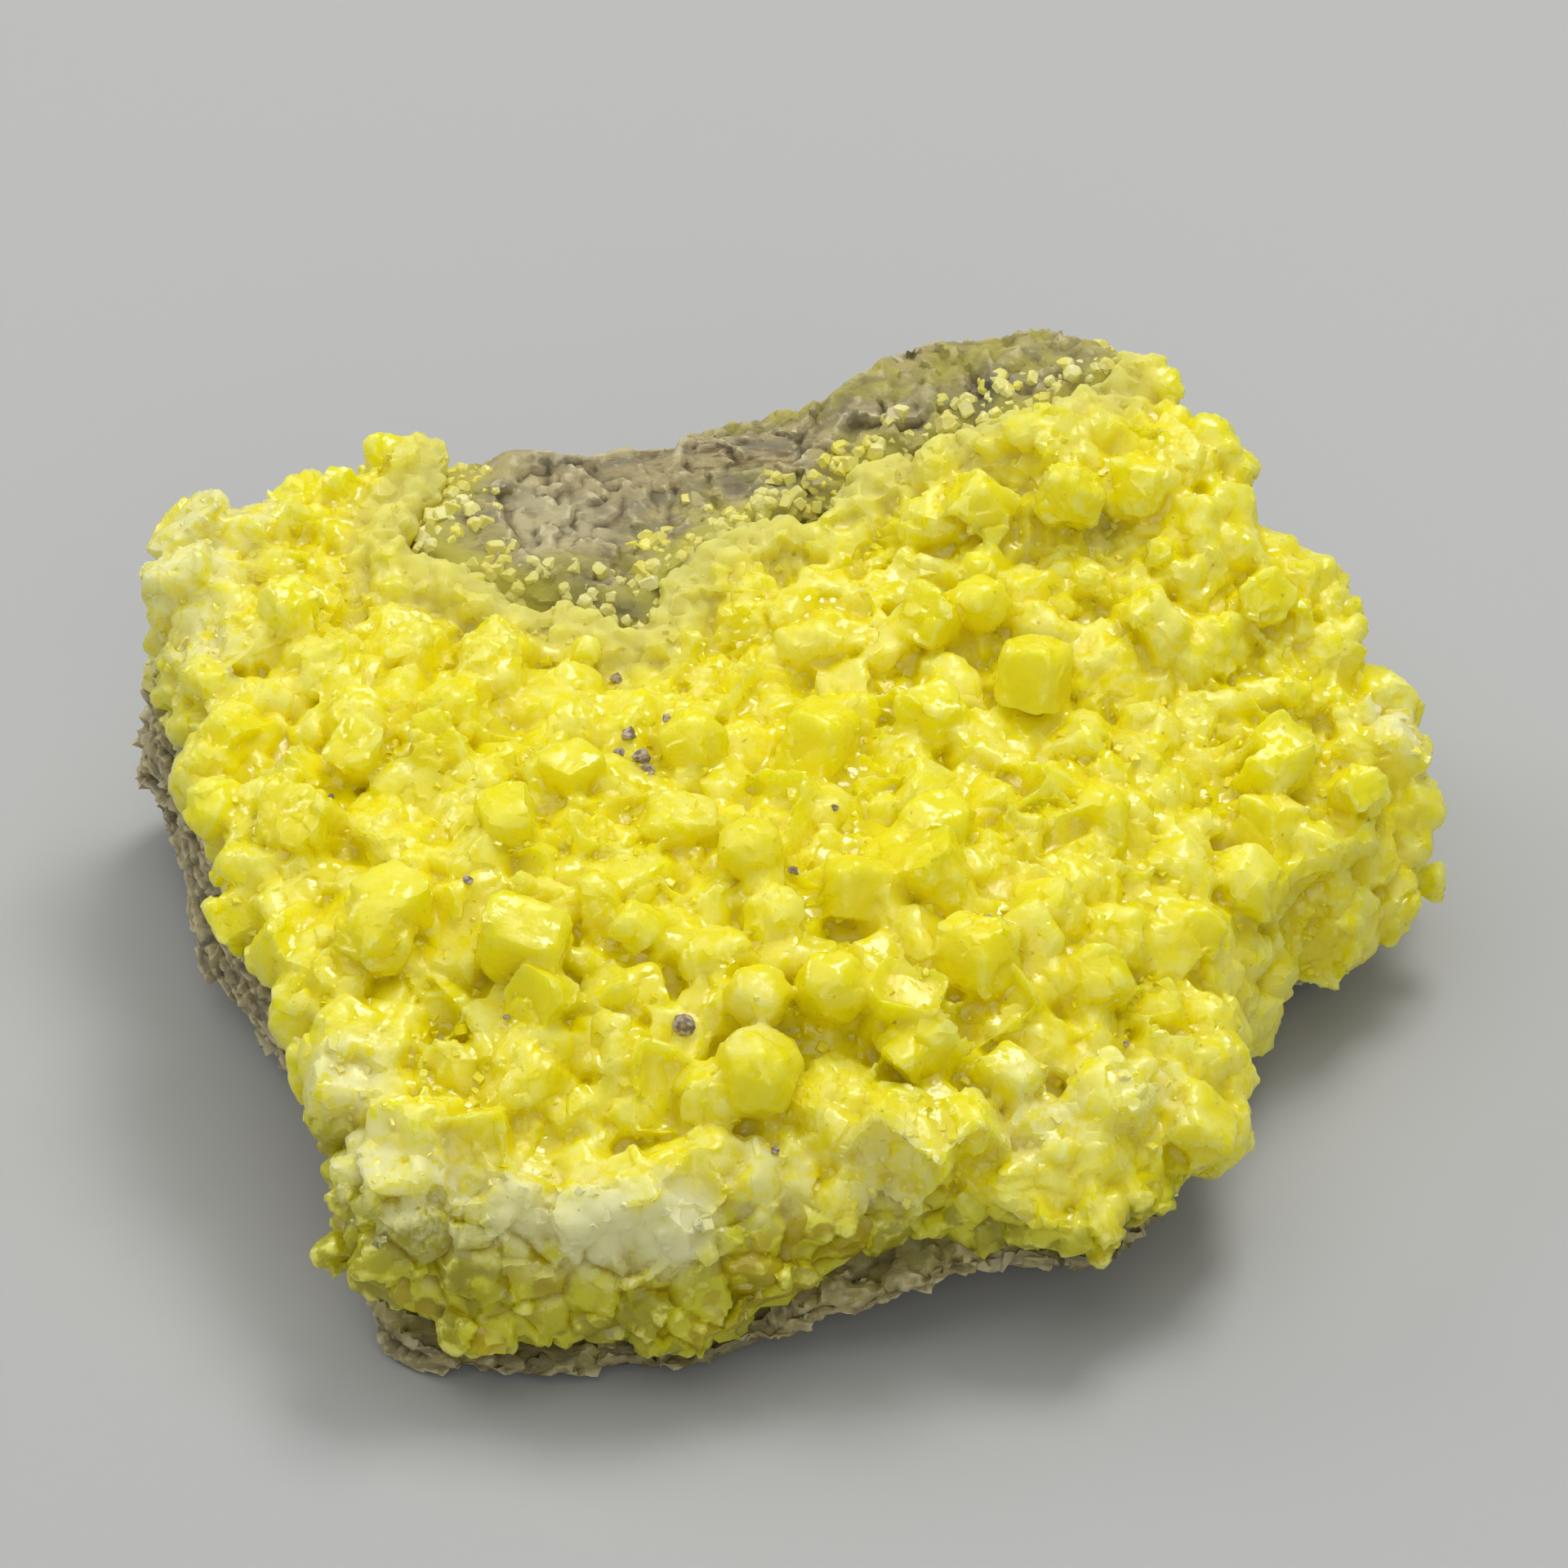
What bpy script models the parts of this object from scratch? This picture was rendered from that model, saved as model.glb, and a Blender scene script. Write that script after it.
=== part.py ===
"""Native sulfur specimen: a crust of grown-together sulfur crystals on a loose piece of limestone.

The crust covers the top, the broken front face and the right-hand side. The limestone shows along the
foot of the front, up the left-hand side, across the back and in a bare strip behind the crystals. Heights
and plan points below are millimetres in a working frame whose y = 0 is the foot of the front face and
whose z = 0 is the surface that the stone rests on. The finished solids are moved so that the origin is
the bottom centre of the specimen's box.
"""

import math
import random

import bmesh
import bpy
import numpy as np
from mathutils import Matrix, Vector, noise
from mathutils.bvhtree import BVHTree

MM = 0.001

# Driving dimensions, in millimetres.
CENTRE = (0.0, 32.0)  # the plan point that the outline is measured round
CRUST_DEPTH = 5.5  # how thick the crust lies on top of the stone
CRUST_DEPTH_FRONT = 8.0  # the same, near the broken front face
BARE_STEP = 2.5  # how far the crust's form dips below the stone where the stone is bare
BARE_FADE = 6.0  # the distance over which the crust thins out to nothing
CRUST_OVERLAP = 3.0  # how far the crust's form runs on under the bare stone, so that no slot is left
CRUST_ROOT = 2.0  # how deep in the stone the underside of the crust's form lies before the stone is cut out
REST_SINK = 0.6  # what the rough underside loses to the flat that the stone rests on
JOINT_GAP = 0.3  # between the stone and the crust that grew on it
STONE_VOXEL = 1.0
CRUST_VOXEL = 1.6
STONE_TRIANGLES = 1900
CRUST_TRIANGLES = 800  # before the crystals are joined to it
CRYSTAL_TRIANGLES = 6300  # with the crystals, before the stone is cut out of it

# The widest outline in plan, anticlockwise from the front left corner.
OUTLINE = (
    (-24.8, 0.9), (-14.0, -1.5), (-4.5, -0.4), (3.0, 2.0), (12.0, 4.0), (21.0, 5.2), (25.8, 9.5),
    (26.8, 16.5), (27.8, 23.5), (32.0, 30.0), (38.2, 35.0), (41.4, 40.2), (39.9, 45.3), (36.0, 49.2),
    (32.2, 53.5), (27.9, 58.8), (24.6, 66.0), (16.0, 68.0), (6.5, 66.0), (-1.5, 63.0), (-12.0, 62.5),
    (-21.0, 62.5), (-28.0, 61.0), (-34.4, 56.8), (-39.6, 52.0), (-39.4, 45.5), (-38.2, 39.0),
    (-34.9, 30.0), (-32.2, 22.5), (-28.4, 14.0),
)  # fmt: skip

# Spot heights of the crystal bed and, behind it, of the bare stone: x, y, height.
SPOT_HEIGHTS = (
    (-23, 1, 14.0), (-12, -1, 13.2), (0, 2, 12.4), (12, 4, 11.6), (24, 6, 9.0),
    (-26, 12, 17.0), (-13, 11, 18.0), (0, 11, 18.5), (13, 11, 16.5), (26, 15, 13.5),
    (-28, 22, 19.5), (-15, 22, 21.5), (-1, 22, 21.0), (13, 23, 20.0), (27, 25, 15.5),
    (-34, 34, 20.5), (-22, 34, 22.0), (-9, 34, 21.0), (3, 33, 19.0), (17, 34, 20.5), (30, 34, 16.5),
    (-37, 46, 22.5), (-26, 45, 23.0), (-11, 44, 20.5), (2, 44, 20.5), (15, 44, 23.0), (28, 44, 21.5),
    (40, 40, 13.5), (-30, 58, 23.8), (-20, 59, 26.0), (-8, 58, 25.0), (6, 59, 26.6), (18, 59, 29.8),
    (26, 57, 28.0), (16, 67, 30.6), (6, 65, 27.8), (-6, 63, 25.2), (33, 49, 23.5), (-12, 52, 22.5),
    (2, 52, 23.0), (25, 64, 30.0),
)  # fmt: skip
SPOT_REACH = 5.5  # how far a spot height pulls the surface round it

# The front edge of the bare strip of stone behind the crystals: x, y.
BARE_EDGE = (
    (-24.5, 68.0), (-24.0, 50.5), (-18.0, 49.0), (-13.0, 46.5), (-8.0, 45.5), (-4.5, 49.0), (0.0, 53.0),
    (7.0, 57.0), (16.0, 58.5), (23.5, 63.0), (26.0, 72.0),
)  # fmt: skip

# Round the outline, by compass angle in degrees (0 is +X, 90 is the back): the height of the crust's lower
# edge, the height of the stone's lower edge, the width of the undercut below that edge, and how far the
# stone's side stands in from the outline.
SKIRT = (
    (-180, 16.5, 3.0, 3.5, 1.4), (-162, 14.5, 3.0, 4.0, 2.8), (-146, 11.5, 1.6, 3.0, 2.8),
    (-133, 5.0, 0.8, 2.0, 1.4), (-124, 2.6, 0.0, 1.5, 0.2), (-102, 2.4, 0.0, 2.0, 0.0),
    (-95, 3.0, 0.9, 3.0, 0.0), (-86, 4.8, 3.2, 7.0, 0.0), (-74, 6.6, 4.9, 12.0, 0.0),
    (-50, 7.2, 3.8, 15.0, 0.0), (-34, 6.4, 4.2, 14.0, 1.8), (-18, 4.4, 4.0, 11.0, 4.5),
    (0, 3.2, 2.4, 8.0, 5.0), (14, 3.8, 2.4, 7.0, 4.5), (28, 7.0, 2.4, 6.0, 3.0), (44, 14.5, 2.0, 5.0, 1.5),
    (53, 25.0, 1.6, 4.0, 0.5), (62, 44.0, 1.6, 5.0, 0.0), (123, 44.0, 1.6, 5.0, 0.0),
    (130, 21.0, 1.6, 4.0, 0.0), (154, 15.5, 1.8, 3.5, 0.0), (166, 16.5, 2.4, 3.5, 1.0),
    (180, 16.5, 3.0, 3.5, 1.4),
)  # fmt: skip

SIDE_CRUST = 5.0  # how far the crust stands proud of the stone on the sides that it covers
LEDGE_HEIGHT = 4.5  # the broken sides of the stone step in and out in ledges about this high
LEDGE_WIDTH = 20.0  # in degrees round the outline
LEDGE_DEPTH = 1.6
HOLLOW_WIDTH = 13.0  # shallow hollows in the underside, between the flats that it rests on
HOLLOW_DEPTH = 2.6

# Large crystals that stand out from the rest: x, y, radius, and how far the tip leans to +X and to +Y.
LARGE_CRYSTALS = (
    (-15.1, 16.0, 3.0, 0.1, -0.5), (2.8, 13.7, 2.7, 0.2, -0.4), (-1.4, 12.8, 2.6, -0.2, -0.3),
    (7.0, 13.5, 2.6, 0.3, 0.1), (13.1, 10.5, 2.5, 0.1, -0.6), (-1.4, 8.6, 3.0, 0.0, -0.5),
    (2.0, 35.1, 2.9, -0.2, -0.5), (-5.4, 33.6, 2.8, 0.2, -0.3), (-1.9, 22.8, 2.9, 0.0, -0.3),
    (4.3, 21.2, 2.6, 0.3, -0.4), (9.2, 27.3, 2.8, -0.1, -0.4), (19.0, 29.8, 2.6, 0.3, -0.3),
    (-16.3, 25.2, 3.0, -0.1, -0.3), (-22.8, 19.3, 3.2, -0.3, -0.3), (-12.6, 29.8, 2.9, 0.1, -0.4),
    (15.3, 39.6, 3.0, 0.0, -0.5), (11.9, 44.8, 3.0, 0.2, -0.5), (30.2, 36.9, 2.6, 0.4, -0.5),
    (-8.2, 18.0, 2.6, 0.3, -0.2), (10.5, 7.0, 2.6, 0.2, -0.6), (18.5, 9.5, 2.4, 0.2, -0.6),
    (33.0, 50.5, 2.6, 0.6, 0.0), (22.5, 44.0, 2.8, 0.1, -0.4), (-30.0, 44.0, 2.6, -0.2, -0.3),
)  # fmt: skip


class CrystalSize:
    """One size range of crystal, in millimetres, and how many sides and levels its form has."""

    def __init__(self, count, smallest, largest, sides, levels, spacing):
        self.count = count
        self.smallest = smallest
        self.largest = largest
        self.sides = sides
        self.levels = levels  # pairs of height and width, as shares of the crystal's radius
        self.spacing = spacing  # between centres, as a share of the two radii together


FULL_LEVELS = ((-0.7, 0.7), (0.2, 1.0), (0.92, 0.62))
PLAIN_LEVELS = ((-0.8, 0.6), (0.2, 1.1), (0.85, 0.75))
CRYSTAL_SIZES = (
    CrystalSize(170, 2.3, 3.0, 4, PLAIN_LEVELS, 0.70),
    CrystalSize(110, 1.5, 2.1, 4, PLAIN_LEVELS, 0.66),
)
CRYSTAL_BED_DROP = 0.8  # how far the bed lies below the general surface that the crystals' tips make
FRONT_FACE_SINK = 0.72  # crystals on the broken front face are cut low, as a share of their radius
SIDE_SINK = 0.55  # those on the other sides
SINK = 0.32  # and all the others
CRYSTAL_SEEDS = range(25, 40)  # the first that leaves a clean solid is kept
FLAT_WITHIN = 3.0  # faces that meet within this many degrees are made one flat face
NOISE_SEED_OFFSET = Vector((31.7, -12.9, 5.3))


def clear_scene():
    for old in list(bpy.data.objects):
        bpy.data.objects.remove(old, do_unlink=True)


def smooth_step(low, high, value):
    share = min(max((value - low) / (high - low), 0.0), 1.0)
    return share * share * (3.0 - 2.0 * share)


def outline_radius(angle):
    """Distance from CENTRE to the outline at this angle, in degrees."""
    direction = Vector((math.cos(math.radians(angle)), math.sin(math.radians(angle))))
    nearest = 0.0
    points = [Vector(p) - Vector(CENTRE) for p in OUTLINE]
    for start, end in zip(points, points[1:] + points[:1]):
        along = end - start
        crossing = direction.x * along.y - direction.y * along.x
        if abs(crossing) < 1e-9:
            continue
        distance = (start.x * along.y - start.y * along.x) / crossing
        share = (start.x * direction.y - start.y * direction.x) / crossing
        if distance > 0 and -1e-9 <= share <= 1 + 1e-9:
            nearest = max(nearest, distance)
    return nearest


def skirt(angle):
    """(crust's lower edge, stone's lower edge, width of the undercut, inset of the stone) at this angle."""
    angle = (angle + 180.0) % 360.0 - 180.0
    columns = list(zip(*SKIRT))
    return tuple(float(np.interp(angle, columns[0], column)) for column in columns[1:])


def survey_height(x, y):
    """The height of the specimen's upper surface, blended from the spot heights."""
    total = 0.0
    weights = 0.0
    for spot_x, spot_y, height in SPOT_HEIGHTS:
        squared = (x - spot_x) ** 2 + (y - spot_y) ** 2
        weight = math.exp(-squared / (2 * SPOT_REACH**2)) + 1e-6 / (1 + squared)
        total += weight * height
        weights += weight
    return total / weights


def bare_distance(x, y):
    """How far inside the bare strip's front edge a plan point lies; negative on the crust."""
    nearest = 1e3
    for (start_x, start_y), (end_x, end_y) in zip(BARE_EDGE, BARE_EDGE[1:]):
        run_x, run_y = end_x - start_x, end_y - start_y
        share = ((x - start_x) * run_x + (y - start_y) * run_y) / (run_x**2 + run_y**2)
        share = min(max(share, 0.0), 1.0)
        nearest = min(nearest, math.hypot(x - start_x - share * run_x, y - start_y - share * run_y))
    edge_x, edge_y = zip(*BARE_EDGE)
    return nearest if y > np.interp(x, edge_x, edge_y, left=1e3, right=1e3) else -nearest


def crust_depth(x, y, beyond=0.0):
    """How deep the crust is here: full depth on the bed, and below nothing on the bare stone further in."""
    front = 1.0 - smooth_step(6.0, 22.0, y)
    depth = CRUST_DEPTH + (CRUST_DEPTH_FRONT - CRUST_DEPTH) * front
    bare = smooth_step(-0.4 * BARE_FADE, 0.6 * BARE_FADE, bare_distance(x, y) - beyond)
    return depth * (1 - bare) - BARE_STEP * bare


def stone_top(x, y):
    """Where crystals cover the stone it lies below them, and elsewhere it is the surface itself."""
    return survey_height(x, y) - max(crust_depth(x, y), 0.0)


def crust_top(x, y):
    """The bed's own height, or below the stone where the stone is bare."""
    return survey_height(x, y) - CRYSTAL_BED_DROP + min(crust_depth(x, y, CRUST_OVERLAP), 0.0)


def polar_point(angle, radius, height):
    turned = math.radians(angle)
    return Vector((CENTRE[0] + radius * math.cos(turned), CENTRE[1] + radius * math.sin(turned), height))


def covered(angle):
    """1 where the crust comes down the side at this angle, 0 where only stone shows."""
    radius = outline_radius(angle)
    edge = polar_point(angle, radius - 3.0, 0.0)
    return 1.0 - smooth_step(-4.0, 0.0, skirt(angle)[0] - survey_height(edge.x, edge.y))


def ledge(angle, height):
    """How far a ledge of the broken side steps in at this place."""
    cell = Vector((angle / LEDGE_WIDTH, height / LEDGE_HEIGHT + 0.5 * math.sin(math.radians(angle) * 3), 0))
    return LEDGE_DEPTH * noise.cell(cell) * smooth_step(2.0, 5.0, height)


def hollow(x, y):
    """How far the underside rises at this place."""
    return HOLLOW_DEPTH * max(0.0, noise.noise(Vector((x / HOLLOW_WIDTH, y / HOLLOW_WIDTH, 7.0))))


def stone_radius(angle, height):
    """The stone's reach: out to the outline below the crust's lower edge, and further in behind the crust."""
    lower_edge, _, _, inset = skirt(angle)
    behind = smooth_step(lower_edge - 0.2, lower_edge + 1.2, height) * covered(angle)
    return outline_radius(angle) - inset - (SIDE_CRUST - inset) * behind - ledge(angle, height)


def stone_point(angle, level):
    """A point of the stone: level 0 is the middle of its underside and level 1 the middle of its top."""
    foot_level, rim_level = 0.3, 0.62
    _, lift, undercut, inset = skirt(angle)
    reach = outline_radius(angle) - inset
    if level < foot_level:
        share = level / foot_level
        radius = reach * share
        point = polar_point(angle, radius, lift * smooth_step(reach - undercut, reach, radius))
        point.z += hollow(point.x, point.y)
        return point
    rim_radius = stone_radius(angle, survey_height(*polar_point(angle, reach - 3.0, 0.0).xy)) - 1.0
    rim_height = stone_top(*polar_point(angle, rim_radius, 0.0).xy)
    if level < rim_level:
        share = (level - foot_level) / (rim_level - foot_level)
        height = lift + (rim_height - lift) * share
        rounding = 1.2 * share**4
        return polar_point(angle, stone_radius(angle, height) - rounding, height)
    radius = rim_radius * (1.0 - level) / (1.0 - rim_level)
    point = polar_point(angle, radius, 0.0)
    point.z = stone_top(point.x, point.y)
    return point


def crust_point(angle, level):
    """A point of the crust's form before the stone is cut out of it; its underside is buried in the stone."""
    lip_level, rim_level = 0.25, 0.58
    lower_edge = skirt(angle)[0]
    cover = covered(angle)
    reach = outline_radius(angle) - 4.0 * (1.0 - cover)
    rim_radius = reach - 1.8
    rim_height = crust_top(*polar_point(angle, rim_radius, 0.0).xy)
    lower_edge = min(lower_edge, rim_height - 1.5)
    inner = reach - SIDE_CRUST - 3.0
    if level < lip_level:
        share = level / lip_level
        point = polar_point(angle, inner * share, lower_edge + 3.0 * (1.0 - share))
        point.z = min(point.z, stone_top(point.x, point.y) - CRUST_ROOT)
        return point
    if level < rim_level:
        share = (level - lip_level) / (rim_level - lip_level)
        height = lower_edge + (rim_height - lower_edge) * share
        flare = smooth_step(0.0, 0.12, share)
        rounding = 1.8 * share**3
        return polar_point(angle, inner + (reach - inner) * flare - rounding, height)
    radius = rim_radius * (1.0 - level) / (1.0 - rim_level)
    point = polar_point(angle, radius, 0.0)
    point.z = crust_top(point.x, point.y)
    return point


def evaluated_mesh(obj):
    """The object's mesh with its modifiers applied, as new data."""
    graph = bpy.context.evaluated_depsgraph_get()
    return bpy.data.meshes.new_from_object(obj.evaluated_get(graph))


def bake_modifiers(obj):
    mesh = evaluated_mesh(obj)
    obj.modifiers.clear()
    obj.data = mesh


def shaped_solid(name, collection, point_at, voxel, triangles):
    """A sphere primitive moved onto the form that point_at gives, then remeshed to even triangles."""
    bm = bmesh.new()
    bmesh.ops.create_uvsphere(bm, u_segments=120, v_segments=64, radius=1.0)
    for vertex in bm.verts:
        angle = math.degrees(math.atan2(vertex.co.y, vertex.co.x))
        level = math.asin(max(-1.0, min(1.0, vertex.co.z))) / math.pi + 0.5
        vertex.co = point_at(angle, level) * MM
    mesh = bpy.data.meshes.new(name)
    bm.to_mesh(mesh)
    bm.free()
    obj = bpy.data.objects.new(name, mesh)
    collection.objects.link(obj)
    remesh = obj.modifiers.new("even_grain", "REMESH")
    remesh.mode = "VOXEL"
    remesh.voxel_size = voxel * MM
    bake_modifiers(obj)
    thin_out(obj, triangles)
    return obj


def thin_out(obj, triangles):
    """Collapses edges until about this many triangles are left."""
    obj.data.calc_loop_triangles()
    decimate = obj.modifiers.new("thin_out", "DECIMATE")
    decimate.ratio = min(1.0, triangles / len(obj.data.loop_triangles))
    bake_modifiers(obj)


def roughen(obj, layers):
    """Moves each vertex along its normal by layers of (wavelength, height) noise, in millimetres."""
    mesh = obj.data
    moves = []
    for vertex in mesh.vertices:
        place = vertex.co / MM + NOISE_SEED_OFFSET
        lift = sum(height * noise.noise(place / wavelength) for wavelength, height in layers)
        moves.append(vertex.normal * lift * MM)
    for vertex, move in zip(mesh.vertices, moves):
        vertex.co += move


def flatten_foot(obj):
    """Levels the lowest part of the underside, so that the stone rests on real flats."""
    for vertex in obj.data.vertices:
        vertex.co.z = max(vertex.co.z - REST_SINK * MM, 0.0)


def crystal_form(random_source, sides, levels, radius):
    """A blunt, faceted crystal about its own +Z: the hull of a few uneven rings of points."""
    bm = bmesh.new()
    stretch = random_source.uniform(0.8, 1.2)
    for height, width in levels:
        turn = random_source.uniform(-0.15, 0.15)
        for side in range(sides):
            angle = 2 * math.pi * (side + random_source.uniform(-0.12, 0.12)) / sides + turn
            reach = radius * width * random_source.uniform(0.9, 1.1)
            tilt = radius * random_source.uniform(-0.06, 0.06)
            x = reach * math.cos(angle) * stretch
            y = reach * math.sin(angle) / stretch
            bm.verts.new((x, y, radius * height + tilt))
    hull = bmesh.ops.convex_hull(bm, input=bm.verts)
    inside = [item for item in hull["geom_interior"] if isinstance(item, bmesh.types.BMVert)]
    bmesh.ops.delete(bm, geom=inside, context="VERTS")
    bmesh.ops.recalc_face_normals(bm, faces=bm.faces)
    return bm


def tree_of(obj):
    bm = bmesh.new()
    bm.from_mesh(obj.data)
    tree = BVHTree.FromBMesh(bm)
    bm.free()
    return tree


def outside_by(tree, point):
    """How far a point lies outside the solid that the tree holds; negative inside."""
    nearest, normal, _, distance = tree.find_nearest(point)
    return distance if (point - nearest).dot(normal) > 0 else -distance


def random_surface_points(obj, random_source, count):
    """Points and normals spread evenly over the object's surface."""
    mesh = obj.data
    mesh.calc_loop_triangles()
    triangles = list(mesh.loop_triangles)
    areas = np.cumsum([t.area for t in triangles])
    for _ in range(count):
        triangle = triangles[int(np.searchsorted(areas, random_source.random() * areas[-1]))]
        a, b, c = (mesh.vertices[i].co for i in triangle.vertices)
        u, v = random_source.random(), random_source.random()
        if u + v > 1:
            u, v = 1 - u, 1 - v
        yield a + (b - a) * u + (c - a) * v, triangle.normal.copy()


def place_crystal(target, form, point, axis, spin):
    """Adds a crystal to target, its own +Z turned to axis."""
    turn = axis.to_track_quat("Z", "Y").to_matrix().to_4x4()
    form.transform(Matrix.Translation(point) @ turn @ Matrix.Rotation(spin, 4, "Z") @ Matrix.Scale(MM, 4))
    mesh = bpy.data.meshes.new("crystal")
    form.to_mesh(mesh)
    form.free()
    target.from_mesh(mesh)
    bpy.data.meshes.remove(mesh)


def grow_crystals(collection, bed, stone, seed):
    """One object that holds every crystal: the large ones at their places, then the rest at random."""
    random_source = random.Random(seed)
    bed_tree, stone_tree = tree_of(bed), tree_of(stone)
    crystals = bmesh.new()
    taken = []
    for x, y, radius, lean_x, lean_y in LARGE_CRYSTALS:
        above = Vector((x * MM, y * MM, 1.0))
        point, normal, _, _ = bed_tree.ray_cast(above, Vector((0, 0, -1)))
        axis = (normal + Vector((lean_x, lean_y, 0.6))).normalized()
        form = crystal_form(random_source, 5, FULL_LEVELS, radius)
        place_crystal(crystals, form, point, axis, random_source.uniform(0, math.pi))
        taken.append((point, radius))
    for size in CRYSTAL_SIZES:
        placed = 0
        for point, normal in random_surface_points(bed, random_source, 6000):
            if placed == size.count:
                break
            radius = random_source.uniform(size.smallest, size.largest)
            if outside_by(stone_tree, point) < 1.6 * MM:
                continue
            if any((point - other).length < size.spacing * (radius + r) * MM for other, r in taken):
                continue
            broken_face = normal.y < -0.6 and point.y < 12.0 * MM
            sink = FRONT_FACE_SINK if broken_face else SIDE_SINK if normal.z < 0.35 else SINK
            wobble = Vector([random_source.uniform(-1, 1) for _ in range(3)]) * 0.45
            axis = (normal + wobble).normalized()
            form = crystal_form(random_source, size.sides, size.levels, radius)
            centre = point - normal * radius * sink * MM
            place_crystal(crystals, form, centre, axis, random_source.uniform(0, math.pi))
            taken.append((point, radius))
            placed += 1
    mesh = bpy.data.meshes.new("crystals")
    crystals.to_mesh(mesh)
    crystals.free()
    obj = bpy.data.objects.new("crystals", mesh)
    collection.objects.link(obj)
    return obj


def hide_tool(obj):
    """Marks a cutter or a guide, which isn't part of the specimen."""
    obj.hide_render = True
    obj.display_type = "WIRE"


def combine(target, other, operation, self_crossing=False):
    """Joins other to target or cuts it out of target."""
    boolean = target.modifiers.new(operation.lower(), "BOOLEAN")
    boolean.operation = operation
    boolean.object = other
    boolean.solver = "EXACT"
    boolean.use_self = self_crossing
    bake_modifiers(target)


def grown_copy(obj, collection, gap):
    """A copy of a solid whose surface stands gap further out, for cutting its seat in a neighbour."""
    copy = bpy.data.objects.new(obj.name + "_seat", obj.data.copy())
    collection.objects.link(copy)
    for vertex in copy.data.vertices:
        vertex.co += vertex.normal * gap * MM
    return copy


def touches_itself(mesh):
    """Whether some edge belongs to more or fewer than two faces."""
    bm = bmesh.new()
    bm.from_mesh(mesh)
    touching = any(len(edge.link_faces) != 2 for edge in bm.edges)
    bm.free()
    return touching


def finish_crust(crust, stone, collection):
    """Joins crystals to the bed and cuts the stone out, with new crystals where a pinched edge is left."""
    seat = grown_copy(stone, collection, JOINT_GAP)
    hide_tool(seat)
    bed = crust.data.copy()
    for seed in CRYSTAL_SEEDS:
        crust.data = bed.copy()
        crystals = grow_crystals(collection, crust, stone, seed)
        hide_tool(crystals)
        combine(crust, crystals, "UNION", self_crossing=True)
        thin_out(crust, CRYSTAL_TRIANGLES)
        combine(crust, seat, "DIFFERENCE")
        keep_largest_piece(crust)
        tidy_faces(crust)
        if not touches_itself(crust.data):
            return
    raise ValueError("every set of crystals leaves the crust touching itself")


def keep_largest_piece(obj):
    """Drops loose chips that a cut left, so that the crust is one body."""
    bm = bmesh.new()
    bm.from_mesh(obj.data)
    unseen = set(bm.verts)
    pieces = []
    while unseen:
        front = [unseen.pop()]
        piece = list(front)
        while front:
            linked = {e.other_vert(v) for v in front for e in v.link_edges} & unseen
            unseen -= linked
            front = list(linked)
            piece += front
        pieces.append(piece)
    largest = max(pieces, key=len)
    chips = [v for piece in pieces if piece is not largest for v in piece]
    bmesh.ops.delete(bm, geom=chips, context="VERTS")
    bm.to_mesh(obj.data)
    bm.free()


def tidy_faces(obj):
    """Merges faces that lie in one plane and the tiny edges that cuts leave, then makes triangles."""
    bm = bmesh.new()
    bm.from_mesh(obj.data)
    bmesh.ops.dissolve_limit(bm, angle_limit=math.radians(FLAT_WITHIN), verts=bm.verts, edges=bm.edges)
    bmesh.ops.remove_doubles(bm, verts=bm.verts, dist=0.002 * MM)
    bmesh.ops.dissolve_degenerate(bm, edges=bm.edges, dist=0.001 * MM)
    bmesh.ops.triangulate(bm, faces=bm.faces)
    bm.to_mesh(obj.data)
    bm.free()


def material(name, colour, roughness):
    made = bpy.data.materials.new(name)
    made.use_nodes = True
    shader = made.node_tree.nodes["Principled BSDF"]
    shader.inputs["Base Color"].default_value = (*colour, 1.0)
    shader.inputs["Roughness"].default_value = roughness
    shader.inputs["Metallic"].default_value = 0.0
    return made


def centre_on_base(objects):
    """Moves the specimen so that the bottom centre of its box is the origin."""
    points = [v.co for obj in objects for v in obj.data.vertices]
    low = Vector([min(p[i] for p in points) for i in range(3)])
    high = Vector([max(p[i] for p in points) for i in range(3)])
    shift = Vector((-(low.x + high.x) / 2, -(low.y + high.y) / 2, -low.z))
    for obj in objects:
        obj.data.transform(Matrix.Translation(shift))


def build():
    clear_scene()
    parts = bpy.data.collections.new("sulfur_specimen")
    tools = bpy.data.collections.new("cutters")
    for collection in (parts, tools):
        bpy.context.scene.collection.children.link(collection)

    stone = shaped_solid("limestone_matrix", parts, stone_point, STONE_VOXEL, STONE_TRIANGLES)
    roughen(stone, ((14.0, 1.6), (6.0, 1.2), (2.6, 0.5)))
    flatten_foot(stone)

    crust = shaped_solid("sulfur_crust", parts, crust_point, CRUST_VOXEL, CRUST_TRIANGLES)
    roughen(crust, ((11.0, 1.3), (4.5, 0.7)))
    finish_crust(crust, stone, tools)
    tidy_faces(stone)

    stone.data.materials.clear()
    stone.data.materials.append(material("limestone", (0.52, 0.45, 0.33), 0.9))
    crust.data.materials.clear()
    crust.data.materials.append(material("native_sulfur", (0.86, 0.78, 0.06), 0.35))
    centre_on_base((stone, crust))


build()
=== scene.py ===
"""Looks of a native sulfur specimen: a crust of intergrown crystals on a broken piece of limestone.

Plan points and heights in this file are millimetres in the maker's working frame, whose y = 0 is the foot of
the broken front and whose z = 0 is the surface that the specimen rests on. ``to_frame`` turns them into metres
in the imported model's frame.
"""

import itertools
import logging
import math
import random
from dataclasses import dataclass, field
from enum import Enum
from typing import Iterable, Optional, Sequence

import bmesh
import bpy
import numpy as np
from mathutils import Matrix, Vector
from mathutils.bvhtree import BVHTree


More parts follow.
